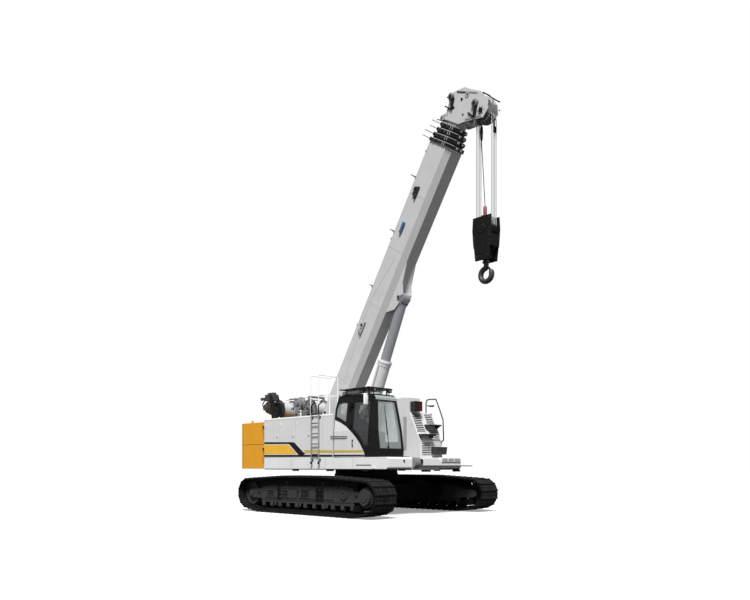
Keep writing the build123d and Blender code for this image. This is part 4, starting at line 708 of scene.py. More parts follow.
# roof: clamp rings of the silencer outlet and the air cleaner, hatch handles, filler cap, eyes
addRing(roof, (-0.3, 0.78, 3.3), (0, 0, 1), 0.0782, 0.09, 0.03, 28)
addRing(roof, (-1.4, 0.8, 3.0), (0, 0, 1), 0.1652, 0.173, 0.024, 36)
for x in (0.3, 0.8):
    bendRod(roof, [(x, 0.64, 3.28), (x, 0.64, 3.31), (x, 0.76, 3.31), (x, 0.76, 3.28)], 0.008, 8)
addSolid(roof, [(0.06, 0.0), (0.06, 0.04), (0.0, 0.05)], (-2.3, 0.95, 2.88), (0, 0, 1), 20)
for x in (-2.8, 1.05):
    addRing(roof, (x, 1.25, 2.885), (0, 1, 0), 0.022, 0.042, 0.018, 20)
for column in range(50):
    for row in range(7):
        x, y = -0.3 + column * 0.03, 1.15 + row * 0.044
        addBox(grip, (x, y, 2.8495), (x + 0.017, y + 0.008, 2.8535))
# grip bars on both treads and the step box
for y0, y1, z, count in leftSet["treads"]:
    x = slopeX(z - 0.03) + 0.02
    for index in range(count):
        y = y0 + 0.02 + index * (y1 - y0 - 0.04) / (count - 1)
        addBox(grip, (x, y - 0.004, z - 0.0005), (x + 0.215, y + 0.004, z + 0.004))
finishPiece("louvre_frames", blades, "bodyGrey")
finishPiece("louvre_shade_backs", back, "stripeBlack")
finishPiece("left_seams_and_shade", seams, "seamGrey")
finishPiece("left_latches", latches, "rubber")
finishPiece("left_roof_fittings", roof, "bodyGrey")
finishPiece("walk_grip", grip, "darkGrey")
# work light: red lens, dark rim and slats
lens, rim = meshes(2)
addBox(lens, (1.4095, 0.705, 2.905), (1.424, 0.825, 3.125), bevel=0.006, segments=2)
for y0, y1, z0, z1 in [(0.55, 0.84, 3.136, 3.15), (0.55, 0.84, 2.88, 2.894), (0.55, 0.564, 2.88, 3.15),
                       (0.826, 0.84, 2.88, 3.15), (0.69, 0.702, 2.88, 3.15)]:
    addBox(rim, (1.409, y0, z0), (1.43, y1, z1))
for index in range(5):
    addBox(rim, (1.409, 0.57, 2.92 + index * 0.042), (1.416, 0.685, 2.934 + index * 0.042))
finishPiece("work_light_lens", lens, "redLens")
finishPiece("work_light_rim", rim, "stripeBlack")
print("left house dressed")

# cab: window rubbers, wiper, mirror, lamps, handles, guard bars and the inside
cabSet = {
    "right": -1.5, "left": -0.52, "lean": 0.12, "belt": 2.25, "roof": 3.25, "screenFoot": (1.965, 1.74),
    "screenLean": 0.137, "lampY": (-1.3, -0.72), "guardZ": 3.386,
    "quarter": [(0.3, 2.66), (0.3, 2.85), (0.375, 3.04), (0.72, 3.04), (0.72, 2.49), (0.42, 2.62)],
    "doorWindow": [(0.99, 3.04), (0.99, 2.32), (1.05, 2.28), (1.17, 2.18), (1.28, 2.068), (1.37, 1.96),
                   (1.45, 1.84), (1.6, 1.84), (1.6, 3.04)],
    "innerWindow": [(0.92, 1.95), (1.8, 1.95), (1.66, 3.04), (0.92, 3.04)],
    "screen": [(-1.425, 1.76), (-0.595, 1.76), (-0.595, 2.25), (-0.69, 3.04), (-1.33, 3.04), (-1.425, 2.25)],
    "slideBar": [(0.15, -1.503, 2.115), (0.15, -1.528, 2.115), (0.79, -1.528, 2.095), (0.79, -1.503, 2.095)],
    "doorHandle": [(1.02, -1.501, 2.0), (1.02, -1.532, 2.0), (1.02, -1.532, 1.84), (1.02, -1.501, 1.84)],
    "frontHandle": [(1.9, -1.497, 1.88), (1.955, -1.497, 1.9), (1.85, -1.47, 2.62), (1.81, -1.45, 2.64)],
    "mirrorArm": [(1.7, -1.4, 3.1), (1.69, -1.56, 3.2), (1.65, -1.62, 3.16), (1.65, -1.62, 2.9)],
}


def cabSide(z, left=False):
    lean = cabSet["lean"] * max(0.0, z - cabSet["belt"]) / (cabSet["roof"] - cabSet["belt"])
    return cabSet["left"] - lean if left else cabSet["right"] + lean


def screenX(z):
    return cabSet["screenFoot"][0] - cabSet["screenLean"] * (z - cabSet["screenFoot"][1])


rubber, doorRubber = meshes(2)
for outline, left in [(cabSet["quarter"], False), (cabSet["quarter"], True), (cabSet["innerWindow"], True)]:
    points = [(x, cabSide(z, left) + (-0.004 if left else 0.004), z) for x, z in outline]
    bendRod(rubber, points, 0.008, 8, loop=True)
bendRod(rubber, [(screenX(z) - 0.004, y, z) for y, z in cabSet["screen"]], 0.009, 8, loop=True)
finishPiece("window_rubbers", rubber, "rubber")
bendRod(doorRubber, [(x, cabSide(z) + 0.004, z) for x, z in cabSet["doorWindow"]], 0.008, 8, loop=True)
addBox(doorRubber, (1.5, -1.5015, 1.7), (1.63, -1.499, 1.79))
addRod(doorRubber, (1.555, -1.499, 1.93), (1.555, -1.506, 1.93), 0.016, 16)
finishPiece("door_rubbers", doorRubber, "rubber", "door")

trim, lamps, lens, header, whiteParts, guard = meshes(6)
# wiper on the screen: motor cover, arm and blade
addCap(trim, (screenX(1.8), -1.12, 1.8), (1, 0, 0.1), 0.0, 0.03, 0.022, 0.028, 16)
bendRod(trim, [(screenX(z) + proud, y, z) for proud, y, z in
               [(0.022, -1.12, 1.8), (0.03, -1.115, 2.15), (0.02, -1.11, 2.55)]], 0.007, 8)
addRod(trim, (screenX(2.12) + 0.004, -1.11, 2.12), (screenX(2.9) + 0.004, -1.105, 2.9), 0.008, 8)
for name, radius in [("slideBar", 0.012), ("doorHandle", 0.012), ("frontHandle", 0.011), ("mirrorArm", 0.01)]:
    bendRod(trim, cabSet[name], radius)
for y in cabSet["lampY"]:
    addBox(lamps, (1.56, y - 0.07, 3.268), (1.65, y + 0.07, 3.348), bevel=0.012, segments=2)
    addRod(trim, (1.6, y, 3.2), (1.6, y, 3.275), 0.012, 10)
    addSolid(lens, [(0.034, 0.0), (0.032, 0.006), (0.0, 0.012)], (1.649, y, 3.308), (1, 0, 0), 20)
for x in (0.33, 0.64):
    addBox(trim, (x - 0.01, -1.352, 3.205), (x + 0.01, -1.33, 3.262))
# dark grips round the hooped ends of the ladder
for x in (-0.64, -0.32):
    addRod(trim, (x, -1.56, 2.76), (x, -1.56, 3.014), 0.0175)
    addRod(trim, (x, -1.56, 3.016), (x + 0.0385, -1.4445, 3.117), 0.0175)
# light pane that carries the screen on to the roof's edge
addPlate(header, [(screenX(3.046), -1.405, 3.046), (screenX(3.046), -0.595, 3.046), (1.78, -0.6, 3.089),
                  (1.78, -1.4, 3.089)], (0.003, 0, 0.0004))
addPlate(header, [(1.78, -1.4, 3.091), (1.78, -0.6, 3.091), (1.73, -0.606, 3.16), (1.73, -1.394, 3.16)],
         (0.0025, 0, 0.0018))
addBox(whiteParts, (1.605, -1.69, 2.89), (1.665, -1.55, 3.19), bevel=0.022, segments=3)
addBox(whiteParts, (0.41, -1.345, 3.262), (1.09, -1.215, 3.335), bevel=0.01, segments=2)
for index in range(9):
    y = -1.42 + index * 0.1025
    addRod(guard, (0.47, y, cabSet["guardZ"]), (1.55, y, cabSet["guardZ"]), 0.008, 8)
for x in (0.48, 1.01, 1.54):
    addRod(guard, (x, -1.47, 3.39), (x, -0.55, 3.39), 0.01, 8)
finishPiece("cab_trim", trim, "rubber")
finishPiece("screen_header", header, "headerGlass")
finishPiece("cab_lamps", lamps, "stripeBlack")
finishPiece("cab_lamp_lenses", lens, "lampLens")
finishPiece("cab_white_parts", whiteParts, "whitePaint", smooth=True)
finishPiece("roof_guard_bars", guard, "cabBlack")

# levers with their boots and switches, display by the front post, pedals, mat ribs and rear shelf
inside, knobs, glow = meshes(3)
for y in (-1.32, -0.7):
    addSolid(knobs, [(0.02, 0.0), (0.028, 0.045), (0.026, 0.09), (0.012, 0.108), (0.0, 0.11)], (1.12, y, 2.275),
             (0.15, 0, 1), 16)
    addTurned(knobs, [(0.024, 0.0), (0.05, 0.0), (0.028, 0.06), (0.022, 0.06)], (1.12, y, 2.146), (0, 0, 1), 20)
    for index in range(4):
        x = 0.8 + index * 0.05
        addBox(knobs, (x, y - 0.012, 2.145), (x + 0.025, y + 0.012, 2.158), bevel=0.003)
bendRod(inside, [(1.6, -1.09, 2.22), (1.64, -1.2, 2.33), (1.62, -1.29, 2.38)], 0.012, 8)
for mesh, low, high, bevel in [(inside, (1.6, -1.39, 2.36), (1.628, -1.19, 2.51), 0.006),
                               (glow, (1.5965, -1.375, 2.375), (1.599, -1.205, 2.495), 0.0)]:
    display = addBox(mesh, low, high, bevel)
    bmesh.ops.rotate(mesh, cent=(1.61, -1.29, 2.43), matrix=spin(-25, "Z"), verts=display)
for y in (-1.15, -1.01, -0.87):
    pedal = addBox(inside, (1.43, y - 0.045, 1.64), (1.45, y + 0.045, 1.8), bevel=0.006)
    bmesh.ops.rotate(inside, cent=(1.44, y, 1.64), matrix=spin(35, "Y"), verts=pedal)
    addRod(inside, (1.43, y, 1.588), (1.45, y, 1.66), 0.008, 8)
for index in range(14):
    x = 1.12 + index * 0.022
    addBox(inside, (x, -1.38, 1.585), (x + 0.009, -0.64, 1.59))
addBox(inside, (0.3, -1.42, 2.18), (0.44, -0.6, 2.215), bevel=0.006)
finishPiece("cab_levers", knobs, "rubber")
finishPiece("cab_fittings", inside, "darkGrey")
finishPiece("cab_display", glow, "stripeBlack")

# operator's seat: rigid base, then a padded cushion, back and head rest with sewn channels
seatSet = {"cushion": {"size": (0.48, 0.43, 0.12), "centre": (0.815, -1.01, 1.99), "tilt": -4.0},
           "back": {"size": (0.52, 0.41, 0.1), "centre": (0.598, -1.01, 2.285), "tilt": -103.0},
           "rest": {"size": (0.15, 0.26, 0.075), "centre": (0.515, -1.01, 2.58), "tilt": -100.0}}
channelSet = {"y": 0.52, "x": 0.45, "wide": 0.07, "deep": 0.1, "edge": 0.78}
base = bmesh.new()
addBox(base, (0.64, -1.16, 1.5865), (0.96, -0.86, 1.62), bevel=0.006)
for index in range(6):
    z = 1.625 + index * 0.042
    addBox(base, (0.665, -1.135, z), (0.935, -0.885, z + 0.03), bevel=0.012, segments=2)
addBox(base, (0.6, -1.2, 1.88), (1.03, -0.82, 1.935), bevel=0.01, segments=2)
addBox(base, (0.5, -1.18, 1.93), (0.585, -0.84, 2.1), bevel=0.01, segments=2)
addRod(base, (0.56, -1.205, 1.96), (0.56, -0.815, 1.96), 0.03, 16)
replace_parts(finishPiece("seat_base", base, "rubber"), "cab_seat")
for name, pad in seatSet.items():
    long, wide, thick = pad["size"]
    mesh = bmesh.new()
    bmesh.ops.create_cube(mesh, size=1.0)
    bmesh.ops.subdivide_edges(mesh, edges=mesh.edges[:], cuts=9, use_grid_fill=True)
    for vert in mesh.verts:
        x, y, z = vert.co * 2
        crown = (1 - x ** 4) * (1 - y ** 4)
        pinch = 1 - 0.05 * (1 - abs(z)) - 0.03 * (x * x + y * y)
        across = math.exp(-((abs(y) - channelSet["y"]) / channelSet["wide"]) ** 2)
        along = math.exp(-((abs(x) - channelSet["x"]) / channelSet["wide"]) ** 2)
        sewn = channelSet["deep"] * (across + 0.8 * along) if z > 0 else 0.0
        rise = channelSet["edge"] + (1 - channelSet["edge"]) * crown - sewn
        vert.co = Vector((x * long / 2 * pinch, y * wide / 2 * pinch, z * thick / 2 * rise))
    moveVerts(mesh, mesh.verts[:], spin(pad["tilt"], "Y"), pad["centre"])
    piece = finishPiece(f"seat_{name}", mesh, "seatCloth", smooth=True)
    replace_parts(piece, "cab_seat")
    rounding = piece.modifiers.new("rounding", "SUBSURF")
    rounding.levels = rounding.render_levels = 2
print("cab dressed")

# ladder hooks, stand-off plates and rung sleeves
ladderSet = {"y": -1.56, "rails": (-0.64, -0.32), "rungs": (1.64, 1.93, 2.22, 2.51, 2.8), "sleeves": 9}
hooks, sleeves = meshes(2)
for x in ladderSet["rails"]:
    addBox(hooks, (x - 0.02, -1.585, 1.36), (x + 0.02, -1.535, 1.43), bevel=0.004)
    for z in (1.44, 2.64):
        addBox(hooks, (x - 0.03, -1.507, z), (x + 0.03, -1.499, z + 0.08), bevel=0.002)
for z in ladderSet["rungs"]:
    for index in range(ladderSet["sleeves"]):
        addRing(sleeves, (-0.6 + index * 0.03, ladderSet["y"], z), (1, 0, 0), 0.0135, 0.0165, 0.01, 12)
finishPiece("ladder_hooks", hooks, "cabBlack")
finishPiece("ladder_grips", sleeves, "cabBlack")

# winches: rope wound in grooves, drum bolts, gear cases and motors, stands and press rollers
winchSet = {
    "main": {"place": (-3.85, 3.15), "body": "main_drum", "layer": 0.268, "case": 0.235, "motor": (-4.08, 3.23),
             "looks": ("winchIron", "stripeBlack", "bodyGrey"),
             "blocks": [((-4.12, -0.625, 3.43), (-3.72, -0.375, 3.64)), ((-4.4, -0.6, 3.47), (-4.1, -0.54, 3.56)),
                        ((-4.06, -0.56, 3.62), (-3.76, -0.42, 3.7))],
             "hoses": [[(-3.76, -0.56, 3.34), (-3.42, -0.56, 3.36), (-3.25, -0.48, 3.3)],
                       [(-4.0, -0.6, 3.44), (-3.86, -0.62, 3.3), (-3.9, -0.61, 3.05)],
                       [(-4.18, -0.58, 3.48), (-4.3, -0.58, 3.34), (-4.26, -0.56, 3.15)]],
             "bracket": [(-3.7, 2.663), (-3.4, 2.663), (-3.74, 3.62), (-3.86, 3.62)]},
    "aux": {"place": (-2.25, 3.08), "body": "aux_drum", "layer": 0.242, "case": 0.205, "motor": (-2.54, 3.27),
            "looks": ("midGrey", "midGrey", "midGrey"),
            "blocks": [((-2.88, -0.6, 3.385), (-2.56, -0.54, 3.43)), ((-2.8, -0.59, 3.07), (-2.73, -0.5, 3.14)),
                       ((-2.56, -0.6, 3.09), (-2.38, -0.52, 3.15)), ((-2.44, -0.64, 2.96), (-1.96, -0.6, 3.0))],
            "hoses": [[(-2.77, -0.56, 3.1), (-2.64, -0.56, 3.18), (-2.56, -0.54, 3.24)],
                      [(-2.2, -0.54, 3.3), (-1.95, -0.54, 3.33), (-1.6, -0.5, 3.3)]],
            "bracket": [(-2.56, 2.79), (-2.26, 2.79), (-2.36, 3.14), (-2.52, 3.14)]},
}
drumSet = {"core": 0.208, "half": 0.249, "turns": 21, "gearY": 0.317,
           "groove": [(0.001, -0.0105), (0.009, -0.005), (0.011, 0.0), (0.009, 0.005), (0.001, 0.0105)],
           "gear": [(0.06, 0.0), (0.235, 0.0), (0.235, 0.03), (0.19, 0.06), (0.19, 0.15), (0.12, 0.19), (0.06, 0.19)],
           "bearing": [(0.06, 0.0), (0.13, 0.0), (0.13, 0.02), (0.085, 0.03), (0.085, 0.062), (0.06, 0.062)],
           "press": [(-0.12, -0.1), (-0.36, 0.16), (-0.36, 0.24), (-0.06, 0.02)]}
for name, winch in winchSet.items():
    wound, bolts, gear, frames, stand = meshes(5)
    (wx, wz), (motorX, motorZ) = winch["place"], winch["motor"]
    core, half = drumSet["core"], drumSet["half"]
    outline = [(core, -half)]
    for index in range(drumSet["turns"]):
        y = -half + (index + 0.5) * 2 * half / drumSet["turns"]
        outline += [(winch["layer"] + proud, y + shift) for proud, shift in drumSet["groove"]]
    addTurned(wound, outline + [(core, half)], (wx, 0, wz), (0, 1, 0), 40)
    for side in (-1, 1):
        addBoltRing(bolts, (wx, side * 0.273, wz), (0, 1, 0), 0.12, 10, 0.01, (0, side * 0.009, 0))
        addRing(bolts, (wx, side * 0.2745, wz), (0, side, 0), 0.275, 0.325, 0.004, 40)
    addTurned(gear, drumSet["gear"], (wx, drumSet["gearY"], wz), (0, 1, 0), 32)
    addBoltRing(gear, (wx, 0.346, wz), (0, 1, 0), 0.215, 14, 0.011, (0, 0.012, 0))
    addTurned(gear, drumSet["bearing"], (wx, -drumSet["gearY"], wz), (0, -1, 0), 28)
    addBoltRing(gear, (wx, -0.336, wz), (0, 1, 0), 0.11, 8, 0.009, (0, -0.01, 0))
    addRod(gear, (wx + 0.02, 0.345, wz - 0.3), (wx + 0.02, 0.56, wz - 0.3), 0.06, 16)
    # gear case and motor on the right, on a bracket that stands on the winch's foot plate
    case = winch["case"]
    addSolid(gear, [(case, 0.0), (case, 0.05), (case * 0.82, 0.08), (case * 0.82, 0.17), (case * 0.5, 0.2),
                    (case * 0.5, 0.27), (0.0, 0.28)], (motorX, -0.352, motorZ), (0, -1, 0), 32)
    addBoltRing(gear, (motorX, -0.395, motorZ), (0, 1, 0), case * 0.91, 14, 0.012, (0, -0.014, 0))
    addRing(gear, (wx, -0.348, wz), (0, 1, 0), 0.06, 0.15, 0.014, 28)
    for block in winch["blocks"]:
        addBox(gear, *block, bevel=0.01)
    for route in winch["hoses"]:
        bendRod(gear, route, 0.018, 8)
    addBox(gear, (wx - 0.08, 0.318, wz - 0.37), (wx + 0.12, 0.345, wz - 0.23), bevel=0.006)
    for y in (-0.64, -0.372):
        addPlate(stand, flatAt(y, winch["bracket"]), (0, 0.016, 0))
    # press roller frame behind the drum
    for y in (-0.329, 0.317):
        addPlate(frames, [(wx + x, y, wz + z) for x, z in drumSet["press"]], (0, 0.012, 0))
    x, z = wx - 0.345, wz + 0.205
    addRod(frames, (x, -0.325, z), (x, 0.325, z), 0.03, 16)
    for y in (-0.2, 0.0, 0.2):
        addRing(frames, (x, y, z), (0, 1, 0), 0.029, 0.042, 0.06, 16)
    gearLook, standLook, frameLook = winch["looks"]
    finishPiece(f"{name}_wound_rope", wound, "rope", winch["body"], smooth=True)
    finishPiece(f"{name}_drum_bolts", bolts, "boltSteel", winch["body"])
    finishPiece(f"{name}_winch_gear", gear, gearLook)
    finishPiece(f"{name}_winch_stand", stand, standLook)
    finishPiece(f"{name}_press_frame", frames, frameLook)
print("winches dressed")

# base boom section: weld lines, service fittings, cable guard, rope whiskers, bracket bolts
boomTrim = {
    "ticks": (1.6, 4.0, 5.6, 7.1), "seam": [(1.7, 0.02), (3.16, 0.18), (4.14, 0.21), (5.41, -0.05)],
    "fittings": [(3.01, 3.48), (6.97, 7.36)], "whiskers": [(4.4, 0.56), (6.0, 0.6), (7.5, 0.62)],
}
welds, fittings, blue, pale = meshes(4)
for side in (-1, 1):
    y = side * boomSet["half"]
    for t in boomTrim["ticks"]:
        addBox(welds, (t - 0.004, y - 0.0015, -0.245), (t + 0.004, y + 0.0015, 0.36))
    bendRod(welds, flatAt(y, boomTrim["seam"]), 0.0045, 6)
    addBox(welds, (0.3, y - 0.0015, 0.352), (8.44, y + 0.0015, 0.36))
    for t0, t1 in boomTrim["fittings"]:
        mesh, t = pale if t0 < 5.0 else fittings, (t0 + t1) / 2 + 0.07
        back, front = y - side * 0.001, y + side * 0.05
        addBox(mesh, (t0 + 0.03, back, 0.06), (t1 - 0.03, front, 0.11), bevel=0.006)
        addBox(mesh, (t0 + 0.1, back, 0.105), (t0 + 0.2, front, 0.215), bevel=0.008)
        addRing(mesh, (t, y + side * 0.03, 0.15), (0, 1, 0), 0.045, 0.078, 0.05, 20)
        addRod(fittings, (t, y, 0.15), (t, y + side * 0.07, 0.15), 0.018)
        addBolts(fittings, flatAt(y + side * 0.049, [(t0 + 0.06, 0.085), (t1 - 0.06, 0.085)]), 0.012,
                 (0, side * 0.009, 0))
    addBox(blue, (6.06, y, 0.07), (6.36, y + side * 0.06, 0.15), bevel=0.01)
    for t, reach in boomTrim["whiskers"]:
        addRod(fittings, (t, side * 0.25, 0.398), (t + 0.02, side * 0.265, reach), 0.01, 8)
        addBox(fittings, (t - 0.04, side * 0.285, 0.396), (t + 0.04, side * 0.215, 0.412), bevel=0.003)
    addBolts(fittings, [(4.535, side * 0.214, -0.635)], 0.034, (0, side * 0.01, 0), 12)
    addBox(fittings, (4.44, side * 0.189, -0.7), (4.63, side * 0.2, -0.672), bevel=0.003)
for t, reach in boomTrim["whiskers"]:
    addRod(fittings, (t + 0.02, -0.265, reach - 0.05), (t + 0.02, 0.265, reach - 0.05), 0.008, 8)
toBoom(welds, fittings, blue, pale)
finishPiece("boom_service_box", pale, "seamGrey", "boom")
finishPiece("boom_welds", welds, "seamGrey", "boom")
finishPiece("boom_fittings", fittings, "darkGrey", "boom")
finishPiece("boom_guard", blue, "blueGuard", "boom")


# collars: wear pad covers, adjusting bolts and painted shade as dark bands on each section's tip
def sectionOutline(y, n):
    share = n / boomSet["high"]
    low, wide, small = boomSet["chamferHigh"] * share, boomSet["chamferWide"] * share, 0.035 * share
    return [(-y, n - small), (-y, low - n), (wide - y, -n), (y - wide, -n), (y, low - n), (y, n - small),
            (y - small, n), (small - y, n)]


def addSleeve(mesh, outer, inner, start, end):
    rings = []
    for t, form in ((start, outer), (end, outer), (end, inner), (start, inner)):
        rings.append([mesh.verts.new((t, y, n)) for y, n in sectionOutline(*form)])
    for near, far in zip(rings, rings[1:] + rings[:1]):
        for index in range(len(near)):
            mesh.faces.new((near[index - 1], near[index], far[index], far[index - 1]))


collarSet = {"rear": 0.082, "front": 0.012, "padN": (-0.16, 0.02, 0.22), "proud": 0.012, "boltT": (0.066, 0.028),
             "windowN": (-0.2, -0.12), "stubs": ((-1, 0.18), (1, 0.06))}
for index in range(4):
    tip = boomSet["baseTip"] + index * boomSet["collarStep"]
    wide = boomSet["half"] - index * boomSet["step"] / 2 + boomSet["collarProud"]
    high = boomSet["high"] - index * boomSet["step"] / 2 + boomSet["collarProud"]
    body = f"section_{index + 1}" if index else "boom"
    pads, bolts, band, frames = meshes(4)
    start, end = tip - collarSet["rear"], tip - collarSet["front"]
    for side in (-1, 1):
        y, middle = side * wide, side * wide * 0.45
        out = y + side * collarSet["proud"]
        for n in collarSet["padN"]:
            addBox(pads, (start, y - side * 0.001, n - 0.045), (end, out, n + 0.045), bevel=0.004)
            addBolts(bolts, [(tip - t, out, n) for t in collarSet["boltT"]], 0.009, (0, side * 0.01, 0))
        for n in (high, -high):
            addBox(pads, (start, middle - 0.05, n), (end, middle + 0.05, n + math.copysign(0.012, n)), bevel=0.004)
        # light frames round the pad windows near the lower corner
        for n in collarSet["windowN"]:
            addBox(frames, (tip - 0.1, side * (wide + 0.002), n + index * 0.006),
                   (tip + 0.006, side * (wide + 0.014), n + 0.012 + index * 0.006))
        # small block of the wear pad under the section
        y = side * 0.09
        addBox(frames, (tip - 0.07, y - 0.035, -high - 0.03), (tip - 0.02, y + 0.035, -high - 0.003), bevel=0.004)
    # dark band round the collar: painted shade at the step to the next section
    addSleeve(band, (wide + 0.004, high + 0.004), (wide - 0.002, high - 0.002), tip - 0.088, end)
    # painted shade: a dark face on the collar's front and a dark band on the next section behind its own collar
    half = boomSet["half"] - (index + 1) * boomSet["step"] / 2
    tall = boomSet["high"] - (index + 1) * boomSet["step"] / 2
    addSleeve(band, (wide - 0.004, high - 0.004), (half + 0.008, tall + 0.008), tip + 0.0005, tip + 0.0035)
    if index < 3:
        shadeTube = bmesh.new()
        addSleeve(shadeTube, (half + 0.0035, tall + 0.0035), (half - 0.002, tall - 0.002), tip + 0.006, tip + 0.048)
        toBoom(shadeTube)
        finishPiece(f"section_shade_band_{index + 2}", shadeTube, "stripeBlack", f"section_{index + 2}")
    # stubs that keep the ropes on top of the section
    reach = high + 0.1 + 0.05 * (index % 2)
    for side, more in collarSet["stubs"]:
        addRod(pads, (tip - 0.045, side * (wide - 0.06), high - 0.002),
               (tip - 0.03, side * (wide - 0.02), reach + more), 0.009, 8)
    toBoom(pads, bolts, band, frames)
    finishPiece(f"collar_frames_{index + 1}", frames, "boomGrey", body)
    finishPiece(f"collar_pads_{index + 1}", pads, "darkGrey", body)
    finishPiece(f"collar_bolts_{index + 1}", bolts, "boltSteel", body)
    finishPiece(f"collar_shade_band_{index + 1}", band, "stripeBlack", body)
print("boom dressed")

# boom head, as T and N: rollers with their arms, painted shade on the cheeks' inner faces, stiffening bars, bolts and
# stays
headSet = {
    "plateY": 0.2203, "sheave": (9.52, -0.82), "jibPin": (9.76, -0.18), "guide": (9.075, 0.45),
    "rollers": [((9.6, 0.31), 0.085, [(9.6, 0.27), (9.59, 0.19), (9.32, 0.11), (9.33, 0.175)]),
                ((9.63, -0.56), 0.092, [(9.62, -0.56), (9.585, -0.655), (9.345, -0.745), (9.35, -0.66)])],
    "cheekShade": [(9.2, -0.45), (9.39, -0.95), (9.61, -0.99), (9.78, -0.87), (9.8, -0.6), (9.4, -0.35)],
    "bolts": [(9.38, 0.1, 0.03), (9.62, -0.06, 0.034), (9.3, -0.3, 0.022), (9.62, -0.45, 0.022)],
    "bars": [[(9.16, 0.23), (9.44, 0.3), (9.44, 0.276), (9.16, 0.206)],
             [(9.8, 0.08), (9.88, -0.48), (9.855, -0.482), (9.775, 0.075)],
             [(9.2, -0.44), (9.4, -0.9), (9.43, -0.89), (9.24, -0.43)]],
    "keepers": [(9.56, 0.47), (9.7, 0.28), (9.83, -0.6)], "keeperEnds": [(9.7, -0.985), (9.3, -0.96)],
    "rearArm": [(9.15, 0.18), (9.02, 0.42), (9.05, 0.5), (9.12, 0.5), (9.26, 0.26)],
    "stays": [((9.325, 0.16), 0.012, (9.345, 0.385), 0.03, 0.016, 10),
              ((9.375, -0.45), 0.012, (9.326, -0.7), 0.03, 0.018, 10),
              ((9.75, 0.2), 0.006, (9.79, -0.08), 0.006, 0.012, 8),
              ((9.905, -0.64), -0.01, (9.88, -0.9), -0.01, 0.016, 10)],
}
plates, pins, rollers, cheekShade = meshes(4)
sheaveT, sheaveN = headSet["sheave"]
jibT, jibN = headSet["jibPin"]
for side in (-1, 1):
    y = side * headSet["plateY"]
    push = (0, side * 0.012, 0)
    addBolts(pins, [(sheaveT, side * 0.2395, sheaveN)], 0.062, push, 16)
    addBolts(pins, [(9.57, side * 0.2395, 0.29)], 0.048, (0, side * 0.01, 0), 16)
    addRing(plates, (jibT, y + side * 0.005, jibN), (0, 1, 0), 0.0315, 0.075, 0.012)
    addBoltRing(pins, (sheaveT, y, sheaveN), (0, 1, 0), 0.095, 6, 0.01, (0, side * 0.01, 0))
    for t, n, size in headSet["bolts"]:
        addBolts(pins, [(t, y, n)], size, push, 16)
    addBolts(pins, flatAt(y, headSet["keeperEnds"]), 0.018, push, 12)
    for bar in headSet["bars"]:
        addPlate(plates, flatAt(y, bar), push)
    for (t, n), radius, arm in headSet["rollers"]:
        addSolid(rollers, [(radius, 0.0), (radius, 0.06), (radius * 0.8, 0.075)], (t, y, n), (0, side, 0), 28)
        addPlate(pins, flatAt(y, arm), (0, side * 0.045, 0))
        addBolts(pins, [(t - 0.01, y + side * 0.074, n - 0.01)], radius * 0.45, push, 16)
    for (t0, n0), out0, (t1, n1), out1, radius, sides in headSet["stays"]:
        addRod(pins, (t0, y + side * out0, n0), (t1, y + side * out1, n1), radius, sides)
    # dark plates on the cheeks' inner faces: painted shade inside the head
    addPlate(cheekShade, flatAt(side * 0.1885, headSet["cheekShade"]), (0, side * 0.0015, 0))
# rope keeper bars between the cheeks and the front guard
for t, n in headSet["keepers"]:
    addRod(pins, (t, -0.215, n), (t, 0.215, n), 0.014)
addRod(pins, (9.905, -0.215, -0.7), (9.905, 0.215, -0.7), 0.014, 10)
# guide roller and its arms on top at the rear
for y in (-0.15, 0.15):
    addPlate(plates, flatAt(y, headSet["rearArm"]), (0, 0.014, 0))
guideT, guideN = headSet["guide"]
addRod(pins, (guideT, -0.165, guideN), (guideT, 0.18, guideN), 0.02)
addRing(plates, (guideT, 0.0, guideN), (0, 1, 0), 0.021, 0.062, 0.26)
addRod(pins, (9.02, -0.215, 0.12), (8.99, -0.3, 0.42), 0.012, 8)
toBoom(plates, pins, rollers, cheekShade)
finishPiece("head_plates", plates, "seamGrey", "section_5")
finishPiece("head_pins", pins, "stripeBlack", "section_5")
finishPiece("head_rollers", rollers, "midGrey", "section_5", smooth=True)
finishPiece("head_cheek_shade", cheekShade, "underBlack", "section_5")

# hoist limit: socket and switch box hang plumb from the axle, the red weight rests on the block
head = boomAt(sheaveT, 0, sheaveN)
limitSet = {"y": -0.02, "socketX": head.x - 0.13, "weightX": head.x - 0.02, "low": 9.44, "cordLow": 7.772,
            "boxX": (4.513, 4.554), "socket": [(0.022, 0.0), (0.034, 0.05), (0.04, 0.23), (0.032, 0.35), (0.0, 0.36)],
            "weight": [(0.04, 0.0), (0.046, 0.02), (0.046, 0.24), (0.034, 0.27), (0.0, 0.275)]}
socket, switch, weight, cord = meshes(4)
x, y = limitSet["socketX"], limitSet["y"]
addRing(socket, (head.x, -0.15, head.z), (0, 1, 0), 0.047, 0.078, 0.022, 28)
bendRod(socket, [(head.x - 0.055, -0.15, head.z - 0.04), (x, -0.15, 9.87), (x, y, 9.8)], 0.012, 8)
addSolid(socket, limitSet["socket"], (x, y, limitSet["low"]), (0, 0, 1), 20)
bendRod(socket, [(head.x + 0.055, -0.15, head.z - 0.04), (4.535, -0.15, 9.9), (4.535, y, 9.86)], 0.01, 8)
x0, x1 = limitSet["boxX"]
for z in (9.52, 9.64, 9.82):
    addBox(socket, (x0, -0.04, z), (x1, 0.04, z + 0.02), bevel=0.003)
for shift in (-0.04, 0.03):
    addBox(socket, (x0, shift, 9.52), (x1, shift + 0.01, 9.84))
addBox(switch, (x0 + 0.004, -0.028, 9.66), (x1 - 0.004, 0.028, 9.82), bevel=0.006)
addSolid(weight, limitSet["weight"], (limitSet["weightX"], y, 7.5), (0, 0, 1), 20)
